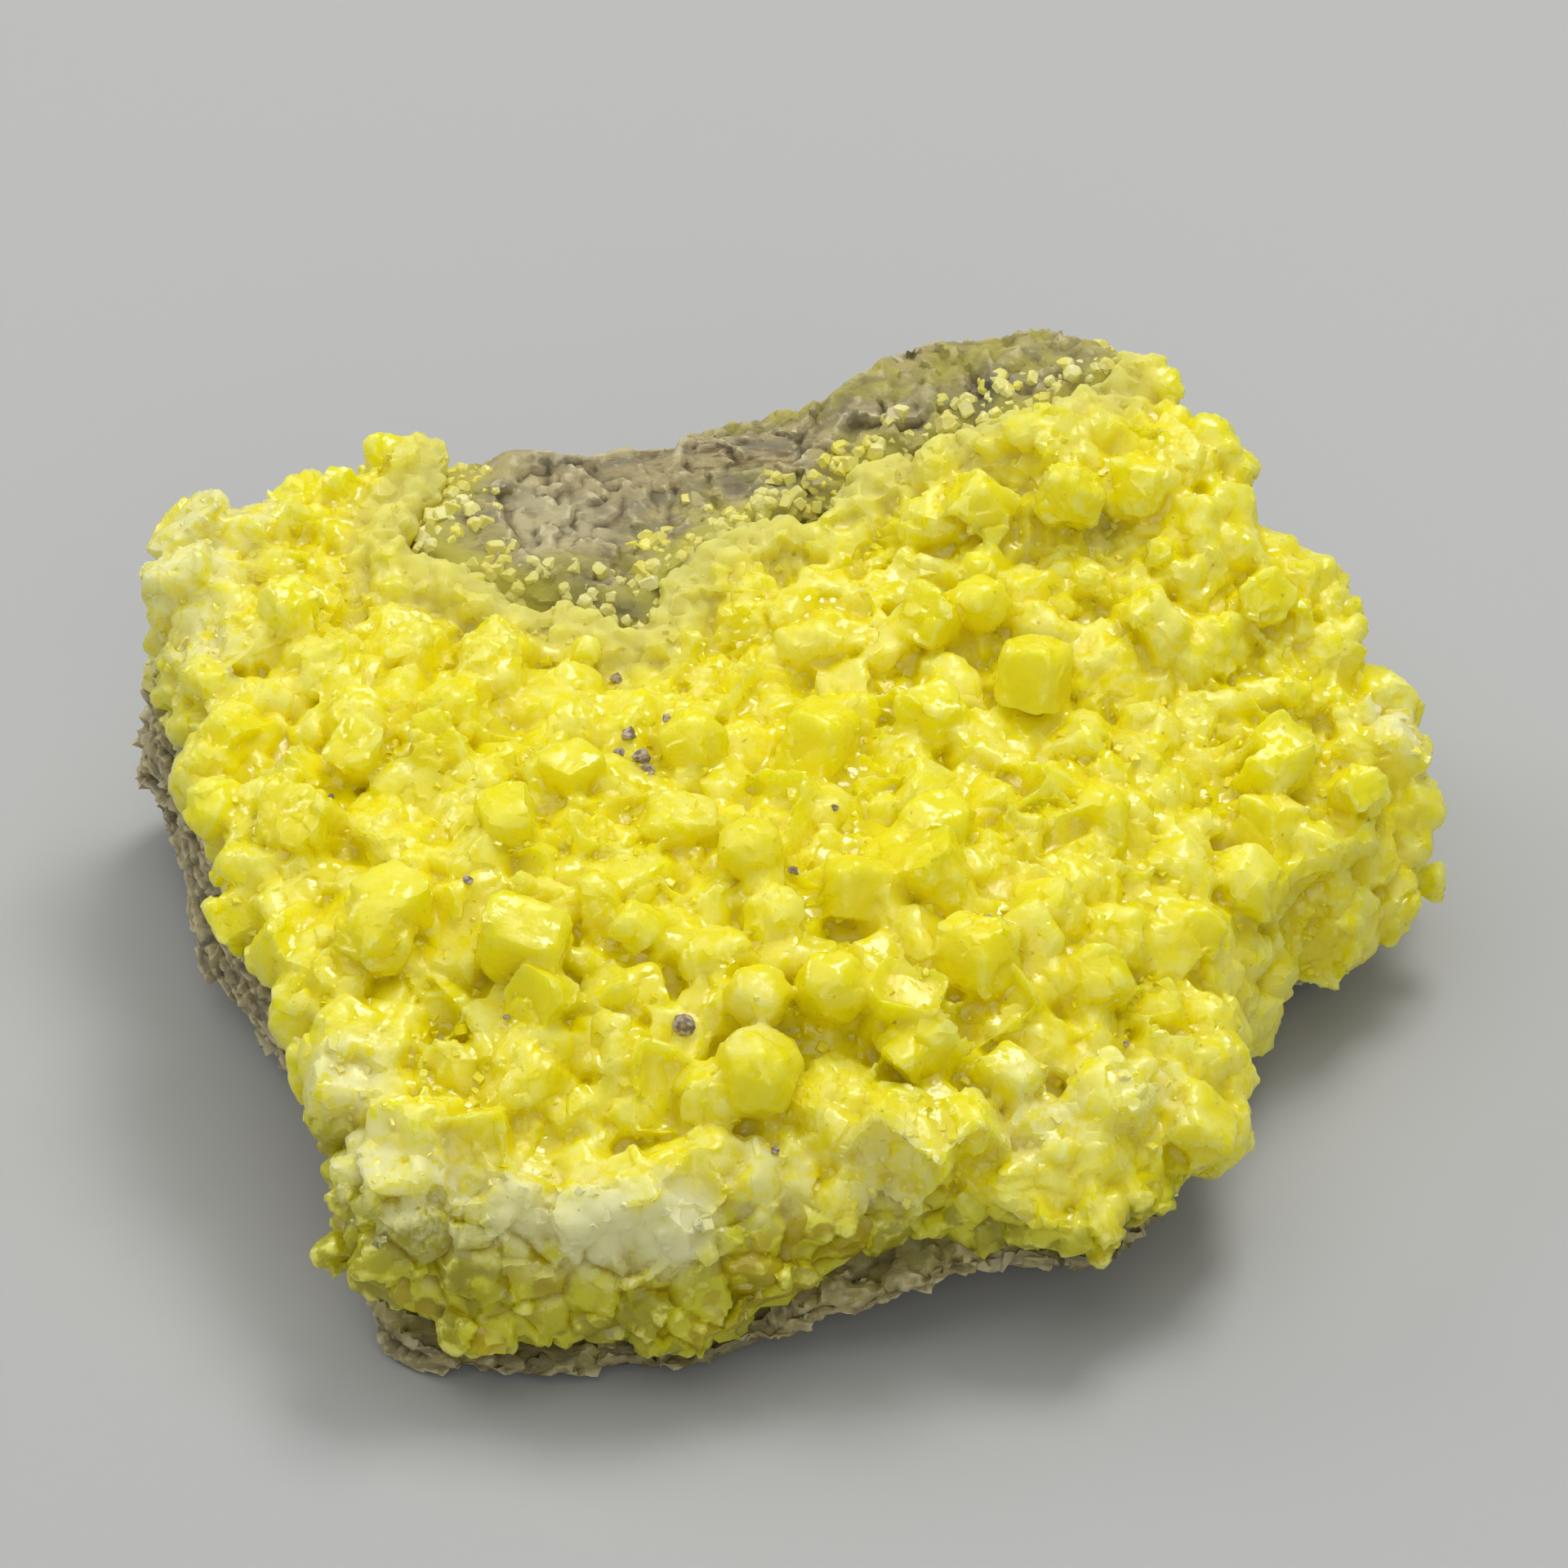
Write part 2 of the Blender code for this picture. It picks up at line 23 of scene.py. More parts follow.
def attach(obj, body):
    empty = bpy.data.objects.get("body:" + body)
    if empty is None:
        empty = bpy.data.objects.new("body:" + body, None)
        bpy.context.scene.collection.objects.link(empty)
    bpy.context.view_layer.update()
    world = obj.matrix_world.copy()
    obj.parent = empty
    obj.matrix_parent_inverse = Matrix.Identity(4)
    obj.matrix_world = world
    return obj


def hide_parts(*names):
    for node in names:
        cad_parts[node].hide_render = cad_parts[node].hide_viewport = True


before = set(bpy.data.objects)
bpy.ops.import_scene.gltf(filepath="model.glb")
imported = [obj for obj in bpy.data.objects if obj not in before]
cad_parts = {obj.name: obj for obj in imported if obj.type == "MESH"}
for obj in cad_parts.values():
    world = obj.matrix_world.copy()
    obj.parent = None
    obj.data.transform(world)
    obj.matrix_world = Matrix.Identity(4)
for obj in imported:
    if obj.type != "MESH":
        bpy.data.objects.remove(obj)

Array = np.ndarray
Material, Mesh, Object, Socket = bpy.types.Material, bpy.types.Mesh, bpy.types.Object, bpy.types.NodeSocket

log = logging.getLogger("sulfur_specimen")

MM = 0.001
WORKING_ORIGIN = (-0.1764, -33.1311, 0.0)
CRUST_NODE = "sulfur_crust"
STONE_NODE = "limestone_matrix"
BODY = "root"
CARRIED = ("tone", "crown", "gloss")  # the numbers per point that the crystals bring into the crust's skin
WELD = 1e-6  # metres between points that are one corner
GRID_ORIGIN = 1000.0  # keeps the noise's grid cells above zero
GRID_PRIMES = (73856093, 19349663, 83492791)
SALT_PRIME = 2654435761
MIXER = 0x9E3779B1
LEAN_TURNS = 40.0  # radians that a grain's number from 0 to 1 turns its tilt through
TONE_SEED = 77
NO_AREA = 1e-24  # a triangle's squared area in square metres below which its corners can't be told apart
ABOVE = 60.0  # a height that is clear of the whole specimen
BARE_STRIP = (38.0, 43.0)  # y where the crust gives way to bare stone at the back
LOOSE_CAVITY = 0.35  # what the finish takes for a loose crystal's "cavity": slightly worn

# Places where powder lies on the crust: x, y, z, radius, strength.
POWDER_PLACES = (
    (-20.0, 1.0, 14.0, 4.0, 0.7), (-15.0, 0.0, 13.0, 3.6, 0.9), (-10.5, 0.0, 11.8, 3.4, 1.0),
    (-6.5, 1.0, 11.5, 3.2, 1.0), (-24.5, 4.5, 14.0, 3.0, 0.8), (-25.5, 9.0, 15.5, 3.0, 0.6),
    (-38.0, 50.0, 22.5, 5.0, 0.8), (-35.0, 54.0, 24.5, 4.0, 0.7), (-35.5, 44.0, 21.0, 3.0, 0.6),
    (38.5, 41.5, 18.0, 3.0, 0.9), (-1.0, 3.5, 13.0, 3.0, 0.5), (6.0, 5.0, 12.6, 3.5, 0.45),
    (15.0, 8.5, 14.0, 3.5, 0.5), (21.0, 11.0, 14.0, 3.5, 0.5), (-2.5, 10.0, 20.0, 2.6, 0.45),
)


def to_frame(point: Sequence[float]) -> Vector:
    """Turns a working-frame point in millimetres into a packed-frame point in metres."""
    return Vector([(value + shift) * MM for value, shift in zip(point, WORKING_ORIGIN)])


def working_mm(coordinates: Array) -> Array:
    """Turns packed-frame metres, one row per point, into working-frame millimetres."""
    return coordinates / MM - np.array(WORKING_ORIGIN)


def smooth_step(low: float, high: float, values: Array) -> Array:
    """Rises smoothly from 0 at low to 1 at high, or falls where low is above high."""
    share = np.clip((values - low) / (high - low), 0.0, 1.0)
    return share * share * (3.0 - 2.0 * share)


# ---------------------------------------------------------------------------------------------------------
# Mesh tools
# ---------------------------------------------------------------------------------------------------------


class Surface:
    """Array access to a mesh's points, normals and per-point values."""

    def __init__(self, mesh: Mesh) -> None:
        """Wraps a mesh."""
        self.mesh = mesh
        self.count = len(mesh.vertices)

    def points(self) -> Array:
        """Returns the points in metres, one row each."""
        flat = np.empty(self.count * 3, np.float32)
        self.mesh.vertices.foreach_get("co", flat)
        return flat.reshape(-1, 3).astype(float)

    def normals(self) -> Array:
        """Returns the point normals, one row each."""
        flat = np.empty(self.count * 3, np.float32)
        self.mesh.vertex_normals.foreach_get("vector", flat)
        return flat.reshape(-1, 3).astype(float)

    def move_to(self, points: Array) -> None:
        """Moves every point."""
        self.mesh.vertices.foreach_set("co", points.astype(np.float32).ravel())
        self.mesh.update()

    def blurred(self, values: Array, rounds: int, share: float = 0.5) -> Array:
        """Averages values with those of the neighbouring points.

        Args:
            values: one value or one row per point.
            rounds: how often to average.
            share: how much of each new value comes from the neighbours.

        Returns:
            The averaged values, in the same shape.
        """
        ends = np.empty(len(self.mesh.edges) * 2, np.int32)
        self.mesh.edges.foreach_get("vertices", ends)
        first, second = ends[0::2], ends[1::2]
        degree = np.maximum(np.bincount(ends, minlength=self.count), 1)
        columns = values.reshape(self.count, -1).astype(float)
        for _ in range(rounds):
            for index in range(columns.shape[1]):
                column = columns[:, index]
                total = np.bincount(first, column[second], self.count)
                total += np.bincount(second, column[first], self.count)
                columns[:, index] = column * (1 - share) + total / degree * share
        return columns.reshape(values.shape)

    def hollow_mm(self, points: Array, rounds: int, share: float = 0.5) -> Array:
        """Measures how far the averaged surface lies outside each point.

        Args:
            points: the surface's points in metres.
            rounds: how often to average, which says how wide a hollow counts.
            share: how much of each new place comes from the neighbours.

        Returns:
            The distance in millimetres, which is below 0 on a ridge.
        """
        return ((self.blurred(points, rounds, share) - points) * self.normals()).sum(1) / MM

    def store(self, name: str, values: Array) -> None:
        """Keeps one number per point as a named attribute."""
        layer = self.mesh.attributes.get(name) or self.mesh.attributes.new(name, "FLOAT", "POINT")
        layer.data.foreach_set("value", values.astype(np.float32))

    def stored(self, name: str) -> Array:
        """Reads a named attribute.

        Args:
            name: the attribute's name.

        Returns:
            One number per point, or zeros where the mesh has no such attribute.
        """
        values = np.zeros(self.count, np.float32)
        layer = self.mesh.attributes.get(name)
        if layer is not None:
            layer.data.foreach_get("value", values)
        return values.astype(float)


def chance_at(cells: Array, salt: int = 0) -> Array:
    """Draws a fixed number for each cell of a whole-number grid.

    Args:
        cells: one row of three whole numbers per cell.
        salt: chooses another set of numbers.

    Returns:
        A number from 0 to 1 for each row.
    """
    x, y, z = (cells[:, axis].astype(np.uint64) for axis in range(3))
    by_x, by_y, by_z = (np.uint64(prime) for prime in GRID_PRIMES)
    mixed = x * by_x ^ y * by_y ^ z * by_z
    mixed ^= np.uint64(salt * SALT_PRIME % 2**32)
    for _ in range(2):
        mixed ^= mixed >> np.uint64(17)
        mixed = mixed * np.uint64(MIXER) & np.uint64(0xFFFFFFFF)
    return (mixed >> np.uint64(8)).astype(float) / 2**24


def noise_at(points: Array, wavelength: float, seed: float = 0.0) -> Array:
    """Reads smooth noise at points in millimetres.

    Args:
        points: one row per point.
        wavelength: the width of its bumps.
        seed: moves the pattern.

    Returns:
        A number of about -0.5 to 0.5 for each point.
    """
    places = points / wavelength + seed + GRID_ORIGIN
    low = np.floor(places)
    share = places - low
    share = share * share * (3.0 - 2.0 * share)
    total = np.zeros(len(points))
    for step in itertools.product((0, 1), repeat=3):
        weights = np.where(step, share, 1.0 - share).prod(axis=1)
        total += weights * chance_at(low + step)
    return total - 0.5


def relief_at(points: Array, layers: Sequence[tuple], base: object = 0.0) -> Array:
    """Adds layers of noise to a base.

    Args:
        points: one row per point, in millimetres.
        layers: a wavelength, a seed and a height for each.
        base: what they are added to, in their order.

    Returns:
        The sum for each point.
    """
    for wavelength, seed, height in layers:
        base = base + noise_at(points, wavelength, seed) * height
    return base


def cells_at(points: Array, size: float, seed: float = 0.0) -> tuple[Array, Array, Array]:
    """Reads a broken-grain pattern at points in millimetres.

    Args:
        points: one row per point.
        size: a typical grain's width.
        seed: moves the pattern.

    Returns:
        Each point's grain number from 0 to 1, its distance from the grain's edge and its tilt, the last two as
        shares of size.
    """
    places = points / size + seed + GRID_ORIGIN
    low = np.floor(places)
    first = np.full(len(points), 9.0)
    second = first.copy()
    number, tilt = np.zeros(len(points)), np.zeros(len(points))
    for step in itertools.product((-1, 0, 1), repeat=3):
        cell = low + step
        centre = cell + np.stack([chance_at(cell, salt) for salt in (1, 2, 3)], axis=1)
        offset = places - centre
        away = np.sqrt((offset**2).sum(axis=1))
        nearer = away < first
        second = np.where(nearer, first, np.minimum(second, away))
        first = np.where(nearer, away, first)
        name = chance_at(cell, 4)
        lean = offset[:, 0] * np.cos(name * LEAN_TURNS) + offset[:, 2] * np.sin(name * LEAN_TURNS)
        number, tilt = np.where(nearer, name, number), np.where(nearer, lean, tilt)
    return number, second - first, tilt


def plain_mesh(obj: Object, name: str) -> Mesh:
    """Applies an object's modifiers.

    Args:
        obj: the object, which loses its modifiers.
        name: the new mesh's name.

    Returns:
        The evaluated mesh as new data.
    """
    graph = bpy.context.evaluated_depsgraph_get()
    mesh = bpy.data.meshes.new_from_object(obj.evaluated_get(graph))
    mesh.name = name
    obj.modifiers.clear()
    return mesh


def new_object(name: str, mesh: Mesh) -> Object:
    """Links a new object at the origin."""
    obj = bpy.data.objects.new(name, mesh)
    bpy.context.scene.collection.objects.link(obj)
    return obj


def shade_facets(mesh: Mesh, angle: float) -> None:
    """Shades a mesh smooth, but for edges that turn by more than an angle in degrees."""
    mesh.shade_smooth()
    mesh.set_sharp_from_angle(angle=math.radians(angle))


def discard(obj: Object) -> None:
    """Removes a helper object and its mesh."""
    mesh = obj.data
    bpy.data.objects.remove(obj, do_unlink=True)
    bpy.data.meshes.remove(mesh)


def merged_copy(node: str, name: str) -> Object:
    """Copies a CAD node's mesh, with its loose triangles joined.

    Args:
        node: the node's name.
        name: the new object's name.

    Returns:
        The new object.
    """
    bm = bmesh.new()
    bm.from_mesh(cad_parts[node].data)
    bmesh.ops.remove_doubles(bm, verts=bm.verts, dist=WELD)
    bmesh.ops.recalc_face_normals(bm, faces=bm.faces)
    mesh = bpy.data.meshes.new(name)
    bm.to_mesh(mesh)
    bm.free()
    return new_object(name, mesh)


def fuse(obj: Object, voxel_mm: float) -> None:
    """Remeshes crossing closed forms into one even skin.

    Args:
        obj: the object that holds the forms.
        voxel_mm: the skin's cell size in millimetres.
    """
    remesh = obj.modifiers.new("fuse", "REMESH")
    remesh.mode = "VOXEL"
    remesh.voxel_size = voxel_mm * MM
    obj.data = plain_mesh(obj, obj.name)


def thin_to(obj: Object, triangles: int, hidden: Optional[Array] = None) -> None:
    """Collapses edges until at most this many triangles are left.

    Args:
        obj: the object to thin.
        triangles: how many triangles may stay.
        hidden: for each point, 1 where it may be thinned first and 0 where it is best kept.
    """
    obj.data.calc_loop_triangles()
    found = len(obj.data.loop_triangles)
    if found <= triangles:
        return
    thinning = obj.modifiers.new("thin", "DECIMATE")
    thinning.ratio = triangles / found
    if hidden is not None:
        group = obj.vertex_groups.new(name="hidden")
        for level in np.unique(np.round(hidden, 1)):
            chosen = np.nonzero(np.round(hidden, 1) == level)[0]
            group.add([int(index) for index in chosen], float(level), "REPLACE")
        thinning.vertex_group = group.name
        thinning.vertex_group_factor = 1.0
    obj.data = plain_mesh(obj, obj.name)
    obj.vertex_groups.clear()


def keep_largest_shell(mesh: Mesh) -> None:
    """Deletes every closed shell but the one with the most points.

    Args:
        mesh: the mesh, which is changed in place.
    """
    ends = np.empty(len(mesh.edges) * 2, np.int32)
    mesh.edges.foreach_get("vertices", ends)
    first, second = ends[0::2], ends[1::2]
    label = np.arange(len(mesh.vertices))
    while True:
        low = np.minimum(label[first], label[second])
        fresh = label.copy()
        np.minimum.at(fresh, first, low)
        np.minimum.at(fresh, second, low)
        fresh = fresh[fresh]
        if np.array_equal(fresh, label):
            break
        label = fresh
    names, sizes = np.unique(label, return_counts=True)
    kept = names[np.argmax(sizes)]
    if len(names) == 1:
        return
    bm = bmesh.new()
    bm.from_mesh(mesh)
    bm.verts.ensure_lookup_table()
    loose = [bm.verts[int(i)] for i in np.nonzero(label != kept)[0]]
    bmesh.ops.delete(bm, geom=loose, context="VERTS")
    bm.to_mesh(mesh)
    bm.free()


def tree_of(mesh: Mesh) -> BVHTree:
    """Returns a search tree over a mesh's triangles."""
    mesh.calc_loop_triangles()
    corners = [vertex.co.copy() for vertex in mesh.vertices]
    return BVHTree.FromPolygons(corners, [tuple(t.vertices) for t in mesh.loop_triangles])


def millimetres_from(node: str, points: Array) -> Array:
    """Returns each point's distance in millimetres from a CAD node's surface."""
    tree = tree_of(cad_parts[node].data)
    return np.array([tree.find_nearest(Vector(point))[3] for point in points]) / MM


def carry_values(source: Mesh, target: Surface, names: Sequence[str]) -> None:
    """Copies named numbers to each target point from the nearest place on a surface.

    Args:
        source: the mesh that has the numbers.
        target: the surface that gets them.
        names: the attributes' names.
    """
    source.calc_loop_triangles()
    corners = [vertex.co.copy() for vertex in source.vertices]
    triangles = [tuple(t.vertices) for t in source.loop_triangles]
    tree = BVHTree.FromPolygons(corners, triangles)
    read = {name: Surface(source).stored(name) for name in names}
    found = {name: np.zeros(target.count) for name in names}
    for index, point in enumerate(target.points()):
        nearest, _, triangle, _ = tree.find_nearest(Vector(point))
        a, b, c = triangles[triangle]
        weights = barycentric(nearest, corners[a], corners[b], corners[c])
        for name in names:
            values = read[name]
            found[name][index] = values[a] * weights[0] + values[b] * weights[1] + values[c] * weights[2]
    for name in names:
        target.store(name, found[name])


def barycentric(point: Vector, a: Vector, b: Vector, c: Vector) -> tuple[float, float, float]:
    """Splits a place on a triangle between its corners.

    Args:
        point: the place.
        a: the first corner.
        b: the second corner.
        c: the third corner.

    Returns:
        How much each corner counts there.
    """
    first, second, offset = b - a, c - a, point - a
    d00, d01, d11 = first.dot(first), first.dot(second), second.dot(second)
    d20, d21 = offset.dot(first), offset.dot(second)
    whole = d00 * d11 - d01 * d01
    if abs(whole) < NO_AREA:
        return 1.0, 0.0, 0.0
    v = (d11 * d20 - d01 * d21) / whole
    w = (d00 * d21 - d01 * d20) / whole
    return 1.0 - v - w, v, w


# ---------------------------------------------------------------------------------------------------------
# Finishes
# ---------------------------------------------------------------------------------------------------------


MIX_SHARE, MIX_FIRST, MIX_SECOND, MIX_RESULT = 0, 6, 7, 2  # a colour Mix node's sockets


class NodeMaterial:
    """Builds a Principled material out of short node calls."""

    def __init__(self, name: str) -> None:
        """Makes an empty material with its shader and its millimetre coordinates."""
        self.material = bpy.data.materials.new(name)
        self.material.use_nodes = True
        self.tree = self.material.node_tree
        self.shader = self.tree.nodes["Principled BSDF"]
        place = self.add("TexCoord", "Object", {})
        self.millimetres = self.add("VectorMath", 0, {0: place, "Scale": 1.0 / MM}, operation="SCALE")

    def feed(self, socket: Socket, value: object) -> None:
        """Links a socket to another or sets its value.

        Args:
            socket: the socket that is fed.
            value: another socket, a colour or a number.
        """
        if isinstance(value, Socket):
            self.tree.links.new(value, socket)
        elif isinstance(value, (tuple, list)) and socket.type == "RGBA":
            socket.default_value = (*value[:3], 1.0)
        else:
            socket.default_value = value

    def add(self, kind: str, output: object, inputs: dict, **settings: object) -> Socket:
        """Adds a node.

        Args:
            kind: its type, without "ShaderNode".
            output: the name or number of the socket that is wanted.
            inputs: a socket, a colour or a number for each input's name or number.
            settings: the node's own settings.

        Returns:
            The wanted socket.
        """
        node = self.tree.nodes.new("ShaderNode" + kind)
        for key, value in settings.items():
            setattr(node, key, value)
        for key, value in inputs.items():
            self.feed(node.inputs[key], value)
        return node.outputs[output]

    def values_of(self, *attributes: str) -> list[Socket]:
        """Reads numbers per point from the mesh."""
        return [self.add("Attribute", "Fac", {}, attribute_name=attribute) for attribute in attributes]

    def noise(self, wavelength: float, detail: float = 3.0, stretch: Optional[Sequence[float]] = None,
              roughness: float = 0.55, turn: Sequence[float] = (0.0, 0.0, 0.0)) -> Socket:
        """Adds noise of a wavelength in millimetres, drawn out along an axis where stretch says so."""
        return self.add("TexNoise", "Fac", {"Scale": 1.0 / wavelength, "Detail": detail, "Roughness": roughness,
                                            "Vector": self.placed(stretch, turn)})

    def cells(self, size: float) -> Socket:
        """Adds a cell pattern of a size in millimetres."""
        return self.add("TexVoronoi", "Distance", {"Scale": 1.0 / size, "Vector": self.millimetres})

    def placed(self, stretch: Optional[Sequence[float]], turn: Sequence[float]) -> Socket:
        """Returns the millimetre coordinates, turned and drawn out."""
        if stretch is None:
            return self.millimetres
        return self.add("Mapping", "Vector", {"Rotation": turn, "Scale": [1.0 / s for s in stretch],
                                              "Vector": self.millimetres})

    def ramp(self, value: Socket, low: float, high: float) -> Socket:
        """Maps low to high smoothly onto 0 to 1."""
        inputs = {"Value": value, "From Min": low, "From Max": high}
        return self.add("MapRange", "Result", inputs, interpolation_type="SMOOTHSTEP")

    def patches(self, wavelength: float, detail: float, low: float, high: float,
                roughness: float = 0.55) -> Socket:
        """Adds noise and maps its range from low to high onto 0 to 1."""
        return self.ramp(self.noise(wavelength, detail, roughness=roughness), low, high)

    def times(self, first: object, second: object) -> Socket:
        """Multiplies, and clamps to 0 to 1."""
        return self.add("Math", 0, {0: first, 1: second}, operation="MULTIPLY", use_clamp=True)

    def most(self, first: object, second: object) -> Socket:
        """Takes the larger, and clamps to 0 to 1."""
        return self.add("Math", 0, {0: first, 1: second}, operation="MAXIMUM", use_clamp=True)

    def blend(self, share: object, first: object, second: object) -> Socket:
        """Mixes two colours."""
        inputs = {MIX_SHARE: share, MIX_FIRST: first, MIX_SECOND: second}
        return self.add("Mix", MIX_RESULT, inputs, data_type="RGBA")

    def between(self, share: object, first: float, second: float) -> Socket:
        """Mixes two numbers."""
        return self.add("MapRange", "Result", {"Value": share, "To Min": first, "To Max": second})

    def bump(self, height: Socket, distance_mm: float, strength: float = 1.0) -> None:
        """Adds relief on top of the relief that is already there.

        Args:
            height: the relief, from 0 to 1.
            distance_mm: its depth.
            strength: how strongly it shows.
        """
        normal = self.shader.inputs["Normal"]
        inputs = {"Strength": strength, "Distance": distance_mm * MM, "Height": height}
        if normal.is_linked:
            inputs["Normal"] = normal.links[0].from_socket
        self.feed(normal, self.add("Bump", "Normal", inputs))

    def set(self, socket: str, value: object) -> None:
        """Sets or links one of the shader's own sockets."""
        self.feed(self.shader.inputs[socket], value)


@dataclass(frozen=True)
class SulfurFinish:
    """Translucent, resinous sulfur: golden inside, lemon outside, painted shade in hollows, pale where frosted,
    white where powdery.
    """

    name: str = "native_sulfur_crystal"
    scatter_mm: float = 4.0
    translucency: float = 0.65
    refraction: float = 1.55
    light_reach: tuple = (1.0, 1.0, 0.12)
    # painted shade: a darker gold for the hollows and broad sunken places
    hollow_shade_gold: tuple = (0.74, 0.63, 0.0004)
    gold: tuple = (0.84, 0.72, 0.001)
    lemon: tuple = (0.87, 0.77, 0.004)
    frosted: tuple = (0.87, 0.80, 0.15)
    powder: tuple = (0.83, 0.80, 0.42)
    olive: tuple = (0.40, 0.36, 0.006)
    lime: tuple = (0.66, 0.62, 0.02)
    # amber is a real grain colour on the broken front and also painted shade in its cracks
    amber_and_crack_shade: tuple = (0.50, 0.40, 0.004)
    film: tuple = (0.60, 0.54, 0.16)
    speck: tuple = (0.30, 0.25, 0.05)

    def build(self) -> Material:
        """Returns the material."""
        m = NodeMaterial(self.name)
        tone, crown, cavity, grain = m.values_of("tone", "crown", "cavity", "grain")
        powder, fracture, gloss = m.values_of("powder", "fracture", "gloss")
        thin, sunk, pale = m.values_of("thin", "sunk", "pale")
        colour = m.blend(m.ramp(tone, 0.1, 0.9), self.gold, self.lemon)
        # painted shade: hollows and broad sunken places turn a darker gold
        colour = m.blend(m.most(m.ramp(cavity, 0.5, 1.0), m.ramp(sunk, 0.5, 0.8)), colour, self.hollow_shade_gold)
        worn = m.most(m.ramp(crown, 0.40, 0.90), m.ramp(cavity, 0.44, 0.22))
        frost = m.times(worn, m.patches(1.3, 5.0, 0.40, 0.56, 0.78))
        frost = m.times(frost, m.between(gloss, 0.85, 0.3))
        frost = m.times(frost, m.times(pale, m.ramp(sunk, 0.62, 0.46)))
        colour = m.blend(frost, colour, self.frosted)
        cut = m.blend(m.ramp(grain, 0.25, 0.4), self.amber_and_crack_shade, self.lime)
        cut = m.blend(m.ramp(grain, 0.55, 0.7), cut, self.olive)
        # painted shade: the broken front's hollows and cracks turn amber
        cut = m.blend(m.ramp(cavity, 0.55, 0.9), cut, self.amber_and_crack_shade)
        cut = m.blend(m.times(m.ramp(cavity, 0.4, 0.15), m.patches(1.2, 3.0, 0.45, 0.6)), cut, self.frosted)
        colour = m.blend(fracture, colour, cut)
        colour = m.blend(m.times(thin, 0.75), colour, self.film)
        dust = m.times(powder, m.patches(1.3, 4.0, 0.34, 0.58, 0.7))
        dust = m.most(dust, m.ramp(powder, 0.6, 1.05))
        colour = m.blend(dust, colour, self.powder)
        colour = m.blend(m.times(m.patches(0.5, 1.0, 0.76, 0.80), 0.5), colour, self.speck)
        m.set("Base Color", colour)

        rough = m.between(m.patches(2.6, 2.0, 0.38, 0.62), 0.10, 0.42)
        for share, roughness in ((frost, 0.45), (dust, 0.85), (thin, 0.9)):
            rough = m.most(rough, m.times(share, roughness))
        m.set("Roughness", rough)
        m.set("IOR", self.refraction)
        m.set("Subsurface Weight", self.translucency)
        m.set("Subsurface Radius", self.light_reach)
        m.set("Subsurface Scale", self.scatter_mm * MM)
        m.bump(m.cells(0.9), 0.05, 0.5)
        m.bump(m.noise(1.0, 4.0, roughness=0.65), 0.08)
        return m.material


@dataclass(frozen=True)
class LimestoneFinish:
    """Broken limestone: tan and beige-grey, streaked, with yellow stain, a few dark patches, painted highlight
    on raised points and painted shade in pits.
    """

    name: str = "limestone_matrix"
    tan: tuple = (0.42, 0.34, 0.165)
    beige: tuple = (0.60, 0.52, 0.28)
    grey: tuple = (0.23, 0.20, 0.12)
    brown: tuple = (0.19, 0.13, 0.06)
    stain: tuple = (0.46, 0.41, 0.06)
    dark: tuple = (0.10, 0.085, 0.07)
    # painted highlight on the stone's raised points
    pale: tuple = (0.74, 0.65, 0.40)
    # painted shade in the stone's pits and crevices
    crevice_shade: tuple = (0.13, 0.10, 0.045)

    def build(self) -> Material:
        """Returns the material."""
        m = NodeMaterial(self.name)
        streaks = m.noise(2.2, 6.0, stretch=(3.4, 0.7, 0.6), turn=(0.2, 0.1, -0.5), roughness=0.62)
        lines = m.noise(1.1, 4.0, stretch=(4.0, 0.6, 0.5), turn=(0.2, 0.1, -0.45), roughness=0.6)
        blotches = m.noise(7.0, 5.0, roughness=0.6)
        colour = m.blend(m.ramp(streaks, 0.40, 0.60), self.grey, self.tan)
        colour = m.blend(m.times(m.ramp(blotches, 0.46, 0.62), 0.6), colour, self.beige)
        colour = m.blend(m.patches(1.1, 5.0, 0.55, 0.74, 0.7), colour, self.beige)
        brown = m.times(m.ramp(lines, 0.50, 0.66), m.patches(6.0, 3.0, 0.44, 0.60))
        colour = m.blend(brown, colour, self.brown)
        cavity, stain, dark_patch = m.values_of("cavity", "stain", "dark_patch")
        # painted highlight: raised points turn pale cream
        colour = m.blend(m.times(m.ramp(cavity, 0.42, 0.1), 0.6), colour, self.pale)
        # painted shade: pits and crevices turn dark brown
        colour = m.blend(m.times(m.ramp(cavity, 0.5, 0.9), 0.8), colour, self.crevice_shade)
        patchy = m.times(stain, m.patches(2.4, 5.0, 0.36, 0.60))
        stain = m.most(patchy, m.ramp(stain, 0.55, 0.95))
        colour = m.blend(stain, colour, self.stain)
        colour = m.blend(dark_patch, colour, self.dark)
        m.set("Base Color", colour)
        m.set("Roughness", m.between(blotches, 0.75, 0.98))
        m.set("IOR", 1.5)
        m.bump(m.noise(0.8, 6.0, roughness=0.68), 0.16)
        m.bump(m.noise(0.22, 3.0, roughness=0.6), 0.05)
        return m.material


@dataclass(frozen=True)
class DirtFinish:
    """Dull grey-brown dirt."""

    name: str = "dirt"
    pale: tuple = (0.50, 0.41, 0.30)
    dark: tuple = (0.20, 0.15, 0.10)

    def build(self) -> Material:
        """Returns the material."""
        m = NodeMaterial(self.name)
        m.set("Base Color", m.blend(m.patches(0.35, 4.0, 0.4, 0.6), self.dark, self.pale))
        m.set("Roughness", m.between(m.noise(0.5, 2.0), 0.7, 0.95))
        m.bump(m.noise(0.15, 3.0), 0.05)
        return m.material


